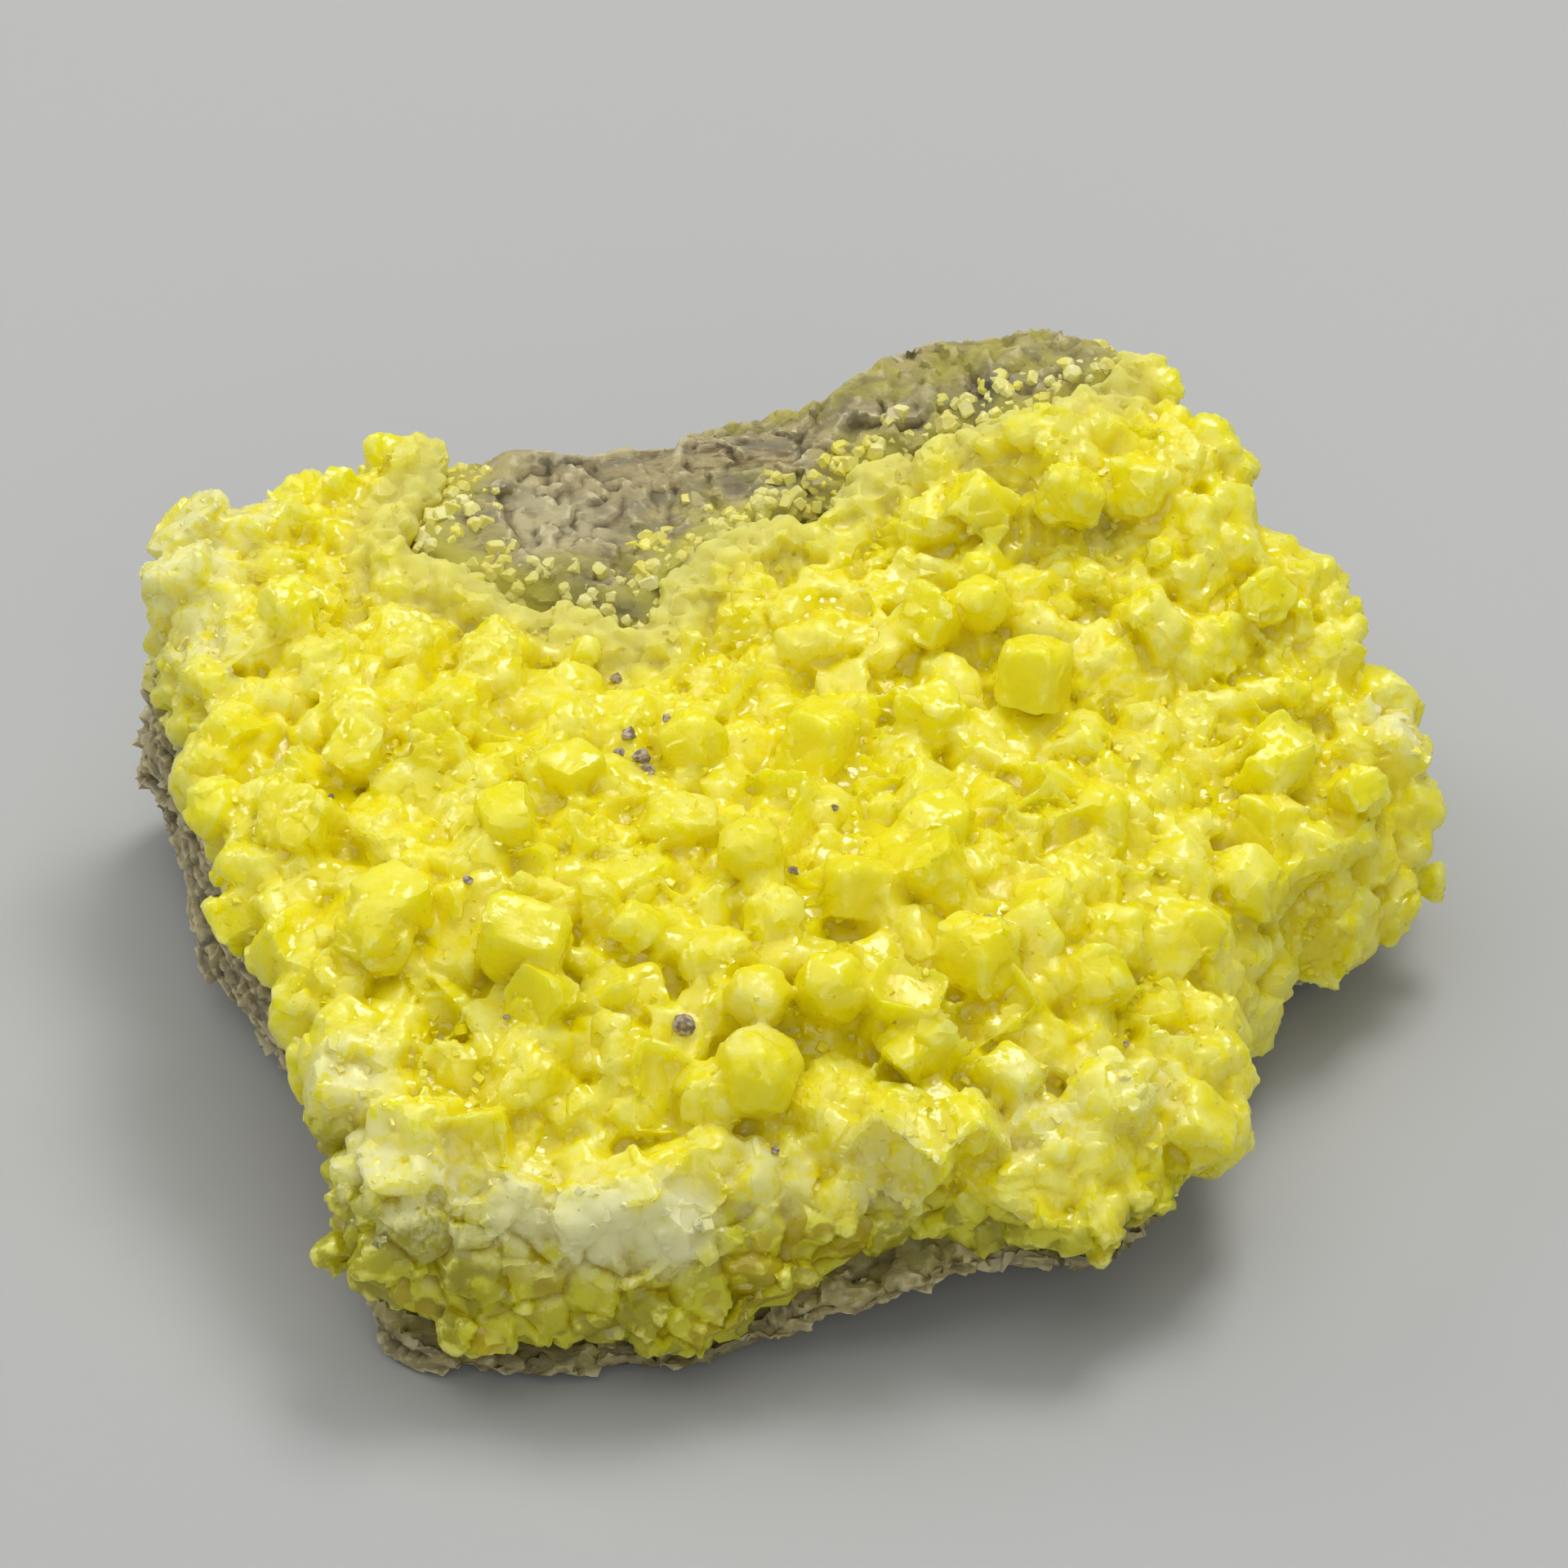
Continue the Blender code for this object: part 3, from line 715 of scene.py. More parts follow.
@dataclass(frozen=True)
class FloorFinish:
    """A plain pale surface."""

    name: str = "pale_floor"
    colour: tuple = (0.44, 0.44, 0.425)

    def build(self) -> Material:
        """Returns the material."""
        m = NodeMaterial(self.name)
        m.set("Base Color", self.colour)
        m.set("Roughness", 0.8)
        return m.material


# ---------------------------------------------------------------------------------------------------------
# Crystals
# ---------------------------------------------------------------------------------------------------------


class Habit(Enum):
    """The forms of crystal, as rings of faces: tilt above level, number, reach from the middle, turn."""

    BLOCK = ((5, 4, 0.92, 0), (2, 4, 1.14, 45), (45, 4, 1.13, 0), (38, 4, 1.31, 45), (90, 1, 0.88, 0),
             (-90, 1, 1.0, 0))
    DIPYRAMID = ((24, 4, 0.88, 0), (-24, 4, 0.9, 0), (3, 4, 1.05, 45), (58, 4, 0.93, 0), (90, 1, 0.95, 0),
                 (-90, 1, 1.0, 0))
    TABLET = ((4, 6, 1.0, 0), (48, 6, 0.9, 10), (90, 1, 0.58, 0), (-90, 1, 0.6, 0))
    ROUND = ((2, 7, 0.96, 0), (34, 7, 0.98, 25), (64, 5, 0.94, 0), (90, 1, 0.88, 0), (-35, 5, 1.0, 0),
             (-90, 1, 0.95, 0))
    HOPPER = ((4, 4, 0.95, 0), (2, 4, 1.2, 45), (90, 1, 0.85, 0), (-90, 1, 1.0, 0))
    FLAKE = ((10, 5, 1.0, 0), (90, 1, 0.16, 0), (-90, 1, 0.16, 0))


@dataclass
class CrystalForms:
    """A set of crystal meshes of unit radius in a hidden collection, for scattering."""

    name: str
    habits: tuple
    variants: int
    seed: int

    def build(self) -> bpy.types.Collection:
        """Returns the collection, which isn't linked to the scene."""
        chance = random.Random(self.seed)
        collection = bpy.data.collections.new(self.name)
        for habit in self.habits:
            for number in range(self.variants):
                mesh = self.form(habit, chance, f"{self.name}_{habit.name.lower()}_{number}")
                collection.objects.link(bpy.data.objects.new(mesh.name, mesh))
        return collection

    @staticmethod
    def corners(habit: Habit, chance: random.Random) -> list[Array]:
        """Finds the corners of the solid that lies inside all of a habit's faces.

        Args:
            habit: the form.
            chance: moves each face a little out of place.

        Returns:
            The corners, some of them more than once.
        """
        normals, reaches = [], []
        stretch = chance.uniform(0.86, 1.16)
        for tilt, count, reach, turn in habit.value:
            for number in range(count):
                up = math.radians(tilt + chance.uniform(-7, 7))
                round_about = math.radians(turn + 360 * number / count + chance.uniform(-11, 11))
                level = math.cos(up)
                along, across = level * math.cos(round_about), level * math.sin(round_about)
                normals.append((along * stretch, across / stretch, math.sin(up)))
                reaches.append(reach * chance.uniform(0.90, 1.07))
        faces, limits = np.array(normals), np.array(reaches)
        found = []
        for trio in itertools.combinations(range(len(limits)), 3):
            chosen = list(trio)
            if abs(np.linalg.det(faces[chosen])) < 1e-3:
                continue
            corner = np.linalg.solve(faces[chosen], limits[chosen])
            if (faces @ corner <= limits + 1e-7).all():
                found.append(corner)
        return found

    @classmethod
    def form(cls, habit: Habit, chance: random.Random, name: str) -> Mesh:
        """Makes one crystal.

        Args:
            habit: which form to make.
            chance: the source of its unevenness.
            name: the mesh's name.

        Returns:
            The mesh, with each point's share of the height in the attribute "crown".
        """
        bm = bmesh.new()
        for corner in cls.corners(habit, chance):
            bm.verts.new(corner)
        bmesh.ops.remove_doubles(bm, verts=bm.verts, dist=1e-4)
        bmesh.ops.convex_hull(bm, input=bm.verts)
        bmesh.ops.dissolve_limit(bm, angle_limit=0.02, verts=bm.verts, edges=bm.edges)
        if habit is Habit.HOPPER:
            top = max(bm.faces, key=lambda face: face.calc_center_median().z)
            bmesh.ops.inset_region(bm, faces=[top], thickness=0.2)
            bmesh.ops.translate(bm, verts=top.verts, vec=(0, 0, -0.38))
        bmesh.ops.recalc_face_normals(bm, faces=bm.faces)
        mesh = bpy.data.meshes.new(name)
        bm.to_mesh(mesh)
        bm.free()
        surface = Surface(mesh)
        surface.store("crown", np.clip(surface.points()[:, 2] * 0.55 + 0.5, 0.0, 1.0))
        return mesh


@dataclass
class CrystalScatter:
    """Scatters crystals over a surface with a Geometry Nodes tree."""

    name: str
    forms: bpy.types.Collection
    radius_low: float
    radius_high: float
    spacing: float
    density: float
    tilt: float
    sink: float
    seed: int
    zone: str
    inputs: dict = field(default_factory=dict)

    def tree(self, material: Material) -> bpy.types.NodeTree:
        """Builds the tree.

        Args:
            material: what the crystals are dressed in.

        Returns:
            The node group, whose inputs are its sizes.
        """
        group = bpy.data.node_groups.new(self.name, "GeometryNodeTree")
        face = group.interface
        face.new_socket("Ground", in_out="INPUT", socket_type="NodeSocketGeometry")
        for label, value in (("Radius Low", self.radius_low * MM), ("Radius High", self.radius_high * MM),
                             ("Spacing", self.spacing * MM), ("Density", self.density / MM**2),
                             ("Tilt", self.tilt), ("Sink", self.sink)):
            socket = face.new_socket(label, in_out="INPUT", socket_type="NodeSocketFloat")
            self.inputs[socket.identifier] = value
        socket = face.new_socket("Seed", in_out="INPUT", socket_type="NodeSocketInt")
        self.inputs[socket.identifier] = self.seed
        face.new_socket("Crystals", in_out="OUTPUT", socket_type="NodeSocketGeometry")

        def add(kind: str, inputs: dict, **settings: object) -> bpy.types.bpy_prop_collection:
            """Adds a node with a value or a socket for each input, and returns its outputs."""
            node = group.nodes.new(kind)
            for key, value in settings.items():
                setattr(node, key, value)
            for key, value in inputs.items():
                if isinstance(value, Socket):
                    group.links.new(value, node.inputs[key])
                else:
                    node.inputs[key].default_value = value
            return node.outputs

        def times(first: Socket, second: object) -> Socket:
            """Multiplies two numbers."""
            return add("ShaderNodeMath", {0: first, 1: second}, operation="MULTIPLY")[0]

        given = add("NodeGroupInput", {})
        zone = add("GeometryNodeInputNamedAttribute", {"Name": self.zone}, data_type="FLOAT")
        points = add("GeometryNodeDistributePointsOnFaces", {
            "Mesh": given["Ground"], "Distance Min": given["Spacing"], "Density Max": given["Density"],
            "Density Factor": zone["Attribute"], "Seed": given["Seed"]}, distribute_method="POISSON")
        radius = add("FunctionNodeRandomValue", {2: given["Radius Low"], 3: given["Radius High"],
                                                 "Seed": given["Seed"]}, data_type="FLOAT")
        inward = times(times(given["Sink"], given["Radius High"]), -1.0)
        offset = add("ShaderNodeVectorMath", {0: points["Normal"], "Scale": inward}, operation="SCALE")
        sunk = add("GeometryNodeSetPosition", {"Geometry": points["Points"], "Offset": offset[0]})

        opposite = times(given["Tilt"], -1.0)
        low = add("ShaderNodeCombineXYZ", {"X": opposite, "Y": opposite})
        high = add("ShaderNodeCombineXYZ", {"X": given["Tilt"], "Y": given["Tilt"], "Z": math.tau})
        wobble = add("FunctionNodeRandomValue", {0: low[0], 1: high[0]}, data_type="FLOAT_VECTOR")
        euler = add("FunctionNodeEulerToRotation", {0: wobble[0]})
        turned = add("FunctionNodeRotateRotation", {0: points["Rotation"], 1: euler[0]}, rotation_space="LOCAL")

        forms = add("GeometryNodeCollectionInfo", {"Collection": self.forms, "Separate Children": True,
                                                   "Reset Children": True})
        placed = add("GeometryNodeInstanceOnPoints", {
            "Pick Instance": True, "Points": sunk["Geometry"], "Instance": forms[0], "Rotation": turned[0],
            "Scale": radius[1]})
        tone = add("FunctionNodeRandomValue", {"Seed": TONE_SEED}, data_type="FLOAT")
        kept = add("GeometryNodeStoreNamedAttribute", {"Name": "tone", "Geometry": placed["Instances"],
                                                       "Value": tone[1]}, data_type="FLOAT", domain="INSTANCE")
        real = add("GeometryNodeRealizeInstances", {"Geometry": kept["Geometry"]})
        dressed = add("GeometryNodeSetMaterial", {"Geometry": real["Geometry"], "Material": material})
        add("NodeGroupOutput", {0: dressed["Geometry"]})
        return group

    def grow(self, ground: Object, material: Material) -> Mesh:
        """Scatters the crystals.

        Args:
            ground: the object that they are scattered over.
            material: what they are dressed in.

        Returns:
            One plain mesh of all of them.
        """
        carrier = new_object(self.name + "_carrier", ground.data.copy())
        modifier = carrier.modifiers.new(self.name, "NODES")
        modifier.node_group = self.tree(material)
        for identifier, value in self.inputs.items():
            modifier[identifier] = value
        mesh = plain_mesh(carrier, self.name)
        discard(carrier)
        return mesh


# ---------------------------------------------------------------------------------------------------------
# Sub-assemblies
# ---------------------------------------------------------------------------------------------------------


def joined(name: str, meshes: Iterable[Mesh], split: bool = True) -> Mesh:
    """Puts several meshes into one, keeping the carried numbers.

    Args:
        name: the new mesh's name.
        meshes: the meshes, which stay as they are.
        split: whether the faces are cut into triangles.

    Returns:
        The new mesh.
    """
    bm = bmesh.new()
    for layer in CARRIED:
        bm.verts.layers.float.new(layer)
    for mesh in meshes:
        bm.from_mesh(mesh)
    if split:
        bmesh.ops.triangulate(bm, faces=bm.faces)
    whole = bpy.data.meshes.new(name)
    bm.to_mesh(whole)
    bm.free()
    return whole


def dress(piece: Object, material: Material, sharp_angle: float) -> None:
    """Gives a piece its only material and its shading."""
    piece.data.materials.clear()
    piece.data.materials.append(material)
    shade_facets(piece.data, sharp_angle)


@dataclass
class SulfurCrust:
    """The crust: the CAD bed, rounded, with crystals of three sizes grown into it as one skin."""

    name: str = "sulfur_crystal_crust"
    bed_voxel: float = 0.5
    bed_shrink: float = 1.35
    skin_voxel: float = 0.225
    sharp_angle: float = 34.0
    most_triangles: int = 196000
    large: tuple = (1.6, 2.7, 2.7, 0.55, 0.42, 0.14)  # radius low and high, spacing, density, tilt, sink
    medium: tuple = (0.9, 1.6, 2.0, 0.22, 0.6, 0.2)
    small: tuple = (0.4, 0.85, 1.15, 0.8, 0.9, 0.15)
    rim: tuple = (0.45, 0.95, 0.9, 2.4, 0.8, 0.22)
    broken: tuple = (1.1, 2.2, 2.2, 0.45, 0.9, 0.66)
    heroes: tuple = (
        (-15.1, 16.0, 2.7, Habit.BLOCK), (2.8, 13.7, 2.4, Habit.ROUND), (-1.4, 12.8, 2.0, Habit.ROUND),
        (7.0, 13.5, 2.3, Habit.HOPPER), (13.1, 10.5, 1.9, Habit.BLOCK), (-1.4, 8.6, 2.9, Habit.ROUND),
        (2.0, 35.1, 2.6, Habit.BLOCK), (-5.4, 33.6, 2.2, Habit.ROUND), (-1.9, 22.8, 2.2, Habit.ROUND),
        (4.3, 21.2, 2.1, Habit.BLOCK), (9.2, 27.3, 2.2, Habit.TABLET), (19.0, 29.8, 1.7, Habit.ROUND),
        (-16.3, 25.2, 2.2, Habit.BLOCK), (-22.8, 19.3, 2.4, Habit.BLOCK), (-12.6, 29.8, 2.0, Habit.BLOCK),
        (15.3, 39.6, 2.3, Habit.BLOCK), (11.9, 44.8, 2.0, Habit.ROUND), (30.2, 36.9, 1.9, Habit.HOPPER),
        (-8.0, 14.5, 1.8, Habit.BLOCK), (9.0, 8.5, 2.0, Habit.BLOCK), (17.5, 13.0, 1.9, Habit.BLOCK),
    )
    front_top: tuple = ((-24.0, -5.0, 5.0, 16.0, 25.0), (13.3, 12.2, 10.8, 9.8, 8.6))  # x, height
    seat_gap: float = 0.6
    root_depth: float = 1.2
    bright_heroes: int = 5
    bright_axis: tuple = (0.14, -0.25, 0.96)
    skin_relief: tuple = ((1.6, 3.0, 0.26), (0.6, 6.0, 0.15))  # wavelength, seed, height
    strip_relief: tuple = ((1.1, 12.0, 0.35), (0.55, 14.0, 0.25))
    step_height: float = 0.14
    chip_size: float = 1.9
    lump_size: float = 2.9
    fine_lump_size: float = 1.3
    hero_seed: int = 11
    seed: int = 3

    def front_edge(self, x: Array) -> Array:
        """Returns the height of the broken front's top edge at x, in the working frame."""
        return np.interp(x, *self.front_top)

    def front_share(self, places: Array) -> Array:
        """Returns 1 at places in the broken front, whichever way they face, and 0 elsewhere."""
        below = smooth_step(0.9, -0.9, places[:, 2] - self.front_edge(places[:, 0]))
        front = smooth_step(12.0, 8.5, places[:, 1]) * smooth_step(28.0, 25.5, places[:, 0])
        return below * front

    def root(self, bed: Object) -> None:
        """Sinks the bed's underside into the stone, so that its thin rim keeps some body."""
        stone = tree_of(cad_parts[STONE_NODE].data)
        for vertex in bed.data.vertices:
            if stone.find_nearest(vertex.co)[3] > self.seat_gap * MM:
                continue
            target = vertex.co + vertex.normal * self.root_depth * MM
            nearest, normal, _, _ = stone.find_nearest(target)
            if (target - nearest).dot(normal) < 0.0:
                vertex.co = target

    def bed(self) -> Object:
        """Returns the rounded bed, with its crystal zones stored on it."""
        bed = merged_copy(CRUST_NODE, "crust_bed")
        self.root(bed)
        fuse(bed, self.bed_voxel)
        surface = Surface(bed.data)
        surface.move_to(surface.blurred(surface.points(), 4))
        places, normals = working_mm(surface.points()), surface.blurred(surface.normals(), 6)
        seat = millimetres_from(STONE_NODE, surface.points())
        cut = self.front_share(places) * smooth_step(0.25, -0.2, normals[:, 1])
        shrink = self.bed_shrink * (1.0 - 0.6 * cut) * smooth_step(0.9, 4.0, seat)
        surface.move_to(surface.points() - surface.normals() * (shrink * MM)[:, None])
        open_share = smooth_step(1.0, 2.2, seat) * (1.0 - cut)
        apart = np.ones(surface.count)
        for x, y, radius, _ in self.heroes:
            away = np.hypot(places[:, 0] - x, places[:, 1] - y)
            apart = np.minimum(apart, smooth_step(radius * 0.8, radius * 1.25, away))
        strip = smooth_step(36.0, 41.0, places[:, 1]) * smooth_step(6.5, 3.5, seat)
        room = (1.0 - cut) * (1.0 - strip) * np.where(apart > 0.9, 1.0, 0.0)
        surface.store("large_zone", smooth_step(1.6, 3.2, seat) * room)
        surface.store("medium_zone", open_share * apart * (1.0 - 0.6 * strip))
        clusters = smooth_step(-0.02, 0.16, noise_at(places, 6.0, 4.0))
        rim = smooth_step(0.05, 0.4, seat) * smooth_step(2.6, 1.4, seat) * smooth_step(0.0, 0.4, normals[:, 2])
        surface.store("small_zone", np.maximum(open_share * np.clip(clusters + 0.25, 0, 1), rim) * apart)
        surface.store("rim_zone", strip * smooth_step(0.05, 0.3, seat) * smooth_step(0.0, 0.4, normals[:, 2]))
        surface.store("broken_zone", smooth_step(1.0, 2.2, seat) * smooth_step(0.3, 0.7, cut))
        surface.store("tone", np.clip(0.5 + noise_at(places, 3.5, 9.0), 0, 1))
        surface.store("crown", np.clip(normals[:, 2] * 0.3 + 0.1, 0, 1))
        return bed

    def hero_crystals(self, bed: Object) -> Mesh:
        """Returns the crystals that have places of their own, standing on the bed."""
        chance = random.Random(self.hero_seed)
        tree = tree_of(bed.data)
        meshes = []
        for number, (x, y, radius, habit) in enumerate(self.heroes):
            point, normal, _, _ = tree.ray_cast(to_frame((x, y, ABOVE)), Vector((0, 0, -1)))
            axis = (normal + Vector((chance.uniform(-0.15, 0.15), chance.uniform(-0.4, 0.1), 0.9))).normalized()
            if number < self.bright_heroes:
                axis = Vector(self.bright_axis)
            mesh = CrystalForms.form(habit, chance, "hero")
            turn = axis.to_track_quat("Z", "Y").to_matrix().to_4x4()
            spin = Matrix.Rotation(chance.uniform(0, math.tau), 4, "Z")
            mesh.transform(Matrix.Translation(point + axis * radius * 0.02 * MM) @ turn @ spin
                           @ Matrix.Scale(radius * 0.9 * MM, 4))
            surface = Surface(mesh)
            surface.store("tone", np.full(surface.count, chance.uniform(0.1, 0.7)))
            surface.store("gloss", np.ones(surface.count))
            meshes.append(mesh)
        whole = joined("hero_crystals", meshes, split=False)
        for mesh in meshes:
            bpy.data.meshes.remove(mesh)
        return whole

    def build(self, material: Material) -> Object:
        """Makes the crust's skin.

        Args:
            material: the finish that it is dressed in.

        Returns:
            The piece, with the values that the finish reads.
        """
        bed = self.bed()
        forms = CrystalForms("crystal_forms", (Habit.BLOCK, Habit.DIPYRAMID, Habit.ROUND, Habit.BLOCK,
                                               Habit.TABLET, Habit.HOPPER), 4, 5).build()
        sizes = (("large", self.large), ("medium", self.medium), ("small", self.small),
                 ("broken", self.broken), ("rim", self.rim))
        crystals = [CrystalScatter(f"{label}_crystals", forms, *size, self.seed + number, f"{label}_zone").grow(
            bed, material) for number, (label, size) in enumerate(sizes)]
        crystals.append(self.hero_crystals(bed))
        whole = joined("crust_skin", (bed.data, *crystals))
        skin = new_object(self.name, whole.copy())
        fuse(skin, self.skin_voxel)
        keep_largest_shell(skin.data)
        skin.data.calc_loop_triangles()
        log.info("fused crust: %d triangles", len(skin.data.loop_triangles))
        surface = Surface(skin.data)
        carry_values(whole, surface, CARRIED)
        self.weather(surface)
        self.record(surface)
        facing_down = smooth_step(0.1, -0.3, surface.blurred(surface.normals(), 4)[:, 2])
        hidden = smooth_step(2.2, 1.0, surface.stored("seat")) * facing_down
        thin_to(skin, self.most_triangles, hidden * 0.9 + 0.1)
        dress(skin, material, self.sharp_angle)
        discard(bed)
        for mesh in (*crystals, whole):
            bpy.data.meshes.remove(mesh)
        return skin

    def weather(self, surface: Surface) -> None:
        """Softens the edges, roughens the skin and breaks the front into grains."""
        surface.move_to(surface.blurred(surface.points(), 1, 0.4))
        points, normals = surface.points(), surface.normals()
        places = working_mm(points)
        cut = self.front_share(places)
        chip, chip_edge, chip_tilt = cells_at(places, self.chip_size, 4.5)
        lift = (chip - 0.5) * 0.18 + chip_tilt * 0.22 - 0.08 * smooth_step(0.12, 0.0, chip_edge)
        level = noise_at(places, 3.1, 31.0) * 7.0
        stepped = smooth_step(-0.1, 0.1, noise_at(places, 4.4, 35.0))
        lift += (level - np.floor(level) - 0.5) * self.step_height * stepped
        lift += relief_at(places, self.skin_relief)
        lift *= 1.0 - 0.4 * surface.stored("gloss")
        number, edge, tilt = cells_at(places, self.lump_size, 2.5)
        fine, _, fine_tilt = cells_at(places, self.fine_lump_size, 8.5)
        lumps = (number - 0.5) * 0.45 + tilt * 0.7 + (fine - 0.5) * 0.12 + fine_tilt * 0.22
        lumps += 0.3 * smooth_step(0.0, 0.25, edge) - 0.2
        lift = lift * (1.0 - 0.7 * cut) + lumps * cut
        lift += smooth_step(*BARE_STRIP, places[:, 1]) * relief_at(places, self.strip_relief)
        surface.store("grain", np.clip(0.6 * number + 0.4 * fine, 0, 1))
        surface.move_to(points + normals * (lift * MM)[:, None])
        surface.store("fracture", cut)

    def record(self, surface: Surface) -> None:
        """Stores where the skin is hollow and where powder lies on it."""
        points, normals = surface.points(), surface.normals()
        near, wide = surface.hollow_mm(points, 8), surface.hollow_mm(points, 50)
        hollow = np.clip(0.5 + near * 1.4 + wide * 0.5, 0.0, 1.0)
        surface.store("cavity", surface.blurred(hollow, 1))
        broad = surface.hollow_mm(points, 85, 0.9)
        surface.store("sunk", surface.blurred(np.clip(0.5 + broad * 0.45, 0.0, 1.0), 6))
        places = working_mm(points)
        outwards = np.hypot((places[:, 0] + 2.0) * 0.75, places[:, 1] - 24.0)
        surface.store("pale", 0.7 + 0.3 * smooth_step(8.0, 24.0, outwards))
        powder = np.zeros(surface.count)
        for x, y, z, radius, strength in POWDER_PLACES:
            away = np.linalg.norm(places - np.array((x, y, z)), axis=1)
            powder = np.maximum(powder, strength * smooth_step(radius * 1.35, radius * 0.5, away))
        surface.store("powder", powder)
        seat = millimetres_from(STONE_NODE, points)
        surface.store("seat", seat)
        facing_up = smooth_step(-0.1, 0.4, surface.blurred(normals, 8)[:, 2])
        back = smooth_step(*BARE_STRIP, places[:, 1]) * facing_up
        surface.store("thin", surface.blurred(back * smooth_step(4.2, 1.2, seat), 4))
        for name in CARRIED:
            surface.store(name, surface.blurred(surface.stored(name), 2))


@dataclass
class MatrixStone:
    """The broken limestone that the crust grew on."""

    name: str = "limestone_rock"
    voxel: float = 0.36
    most_triangles: int = 190000
    sharp_angle: float = 38.0
    ledge: float = 1.3
    stain_reach: float = 6.0
    bedding_tilt: tuple = (0.22, -0.12, 1.0)
    bedding_waves: tuple = ((7.0, 3.0, 3.2), (2.6, 9.0, 1.1))  # wavelength, seed, height
    layer_relief: tuple = ((3.6, 8.0, 0.9), (1.7, 2.0, 0.5))
    fine_relief: tuple = ((0.9, 5.0, 0.24), (0.5, 7.0, 0.16))
    scale_shape: tuple = (0.8, 0.8, 1.3)
    ridge: tuple = (60.0, 63.0)
    ridge_patch: tuple = (11.5, 60.5, 28.0)
    saddle_patch: tuple = (-9.0, 47.5, 22.0)

    def build(self, material: Material) -> Object:
        """Returns the stone's piece, dressed in the material."""
        stone = merged_copy(STONE_NODE, self.name)
        fuse(stone, self.voxel)
        surface = Surface(stone.data)
        surface.move_to(surface.blurred(surface.points(), 2))
        points, normals = surface.points(), surface.normals()
        places = working_mm(points)
        away = millimetres_from(CRUST_NODE, points)
        bare = smooth_step(0.6, 3.0, away)
        layers = places * np.array((0.45, 0.6, 1.5))
        bedding = relief_at(places, self.bedding_waves, places @ np.array(self.bedding_tilt))
        step = bedding / self.ledge - np.floor(bedding / self.ledge)
        lift = (step - 0.5) * 0.5 * smooth_step(-0.35, 0.1, noise_at(places, 5.0, 15.0))
        lift += relief_at(layers, self.layer_relief) - 0.2
        scales = places * np.array(self.scale_shape)
        flat, _, lean = cells_at(scales, 2.2, 6.5)
        small, _, small_lean = cells_at(scales, 1.0, 3.5)
        lift += (flat - 0.5) * 0.5 + lean * 0.6 + (small - 0.5) * 0.22 + small_lean * 0.3
        lift += relief_at(places, self.fine_relief)
        front = smooth_step(14.0, 9.0, places[:, 1]) * smooth_step(0.2, -0.3, normals[:, 1])
        lift = lift * (0.3 + 0.7 * np.maximum(bare, front)) - 0.2
        points = points + normals * (lift * MM)[:, None]
        points[:, 2] = np.maximum(points[:, 2], 0.0)
        surface.move_to(points)
        normals = surface.normals()
        surface.store("cavity", np.clip(0.5 + surface.hollow_mm(points, 5) * 2.0, 0, 1))
        top = smooth_step(0.0, 0.6, surface.blurred(normals, 5)[:, 2])
        back = smooth_step(36.0, 40.0, places[:, 1])
        surface.store("fringe_zone", smooth_step(0.1, 0.3, away) * smooth_step(5.0, 0.8, away) * back
                      * smooth_step(-0.1, 0.3, surface.blurred(normals, 6)[:, 2])
                      * smooth_step(-0.5, -0.1, noise_at(places, 3.0, 1.0)))
        stain = smooth_step(self.stain_reach, 0.0, away) * (0.3 + 0.25 * top + 0.45 * top * back)
        ridge = top * smooth_step(*self.ridge, places[:, 1])
        surface.store("stain", np.clip(np.maximum(stain, ridge * 0.7), 0, 1))
        patch = np.linalg.norm((places - np.array(self.ridge_patch)) * np.array((0.7, 1, 1)), axis=1)
        saddle = np.linalg.norm((places - np.array(self.saddle_patch)) * np.array((0.5, 1, 1)), axis=1)
        patchy = 0.5 + noise_at(places, 1.8, 12.0)
        dark = np.maximum(smooth_step(3.4, 1.2, patch), 0.7 * smooth_step(3.6, 1.0, saddle))
        surface.store("dark_patch", np.clip(dark * smooth_step(0.25, 0.75, patchy), 0, 0.9))
        thin_to(stone, self.most_triangles)
        dress(stone, material, self.sharp_angle)
        return stone


@dataclass
class SugarCrystals:
    """The finest crystals, crisp and separate, which sit in the hollows and along the edges."""

    name: str = "sugar_crystals"
    size: tuple = (0.16, 0.36, 0.45, 1.4, 1.2, 0.3)  # radius low and high, spacing, density, tilt, sink
    seed: int = 21

    def build(self, crust: Object, material: Material) -> Object:
        """Scatters the crystals over the crust.

        Args:
            crust: the piece that they sit on, which gets their zone.
            material: what they are dressed in.

        Returns:
            The piece, with the values that the finish reads.
        """
        surface = Surface(crust.data)
        places = working_mm(surface.points())
        seat = surface.stored("seat")
        patches = smooth_step(0.0, 0.2, noise_at(places, 4.0, 17.0))
        hollow = smooth_step(0.5, 0.75, surface.stored("cavity"))
        zone = hollow * (0.15 + 0.85 * patches) + 0.4 * surface.stored("powder")
        zone *= smooth_step(0.8, 1.6, seat) * (1.0 - 0.8 * surface.stored("fracture"))
        surface.store("sugar_zone", np.clip(zone, 0, 1))
        forms = CrystalForms("sugar_forms", (Habit.TABLET, Habit.FLAKE, Habit.BLOCK), 3, 9).build()
        mesh = CrystalScatter(self.name, forms, *self.size, self.seed, "sugar_zone").grow(crust, material)
        piece = new_object(self.name, mesh)
        near = Surface(mesh)
        carry_values(crust.data, near, ("powder", "thin", "pale"))
        near.store("cavity", np.full(near.count, LOOSE_CAVITY))
        return piece


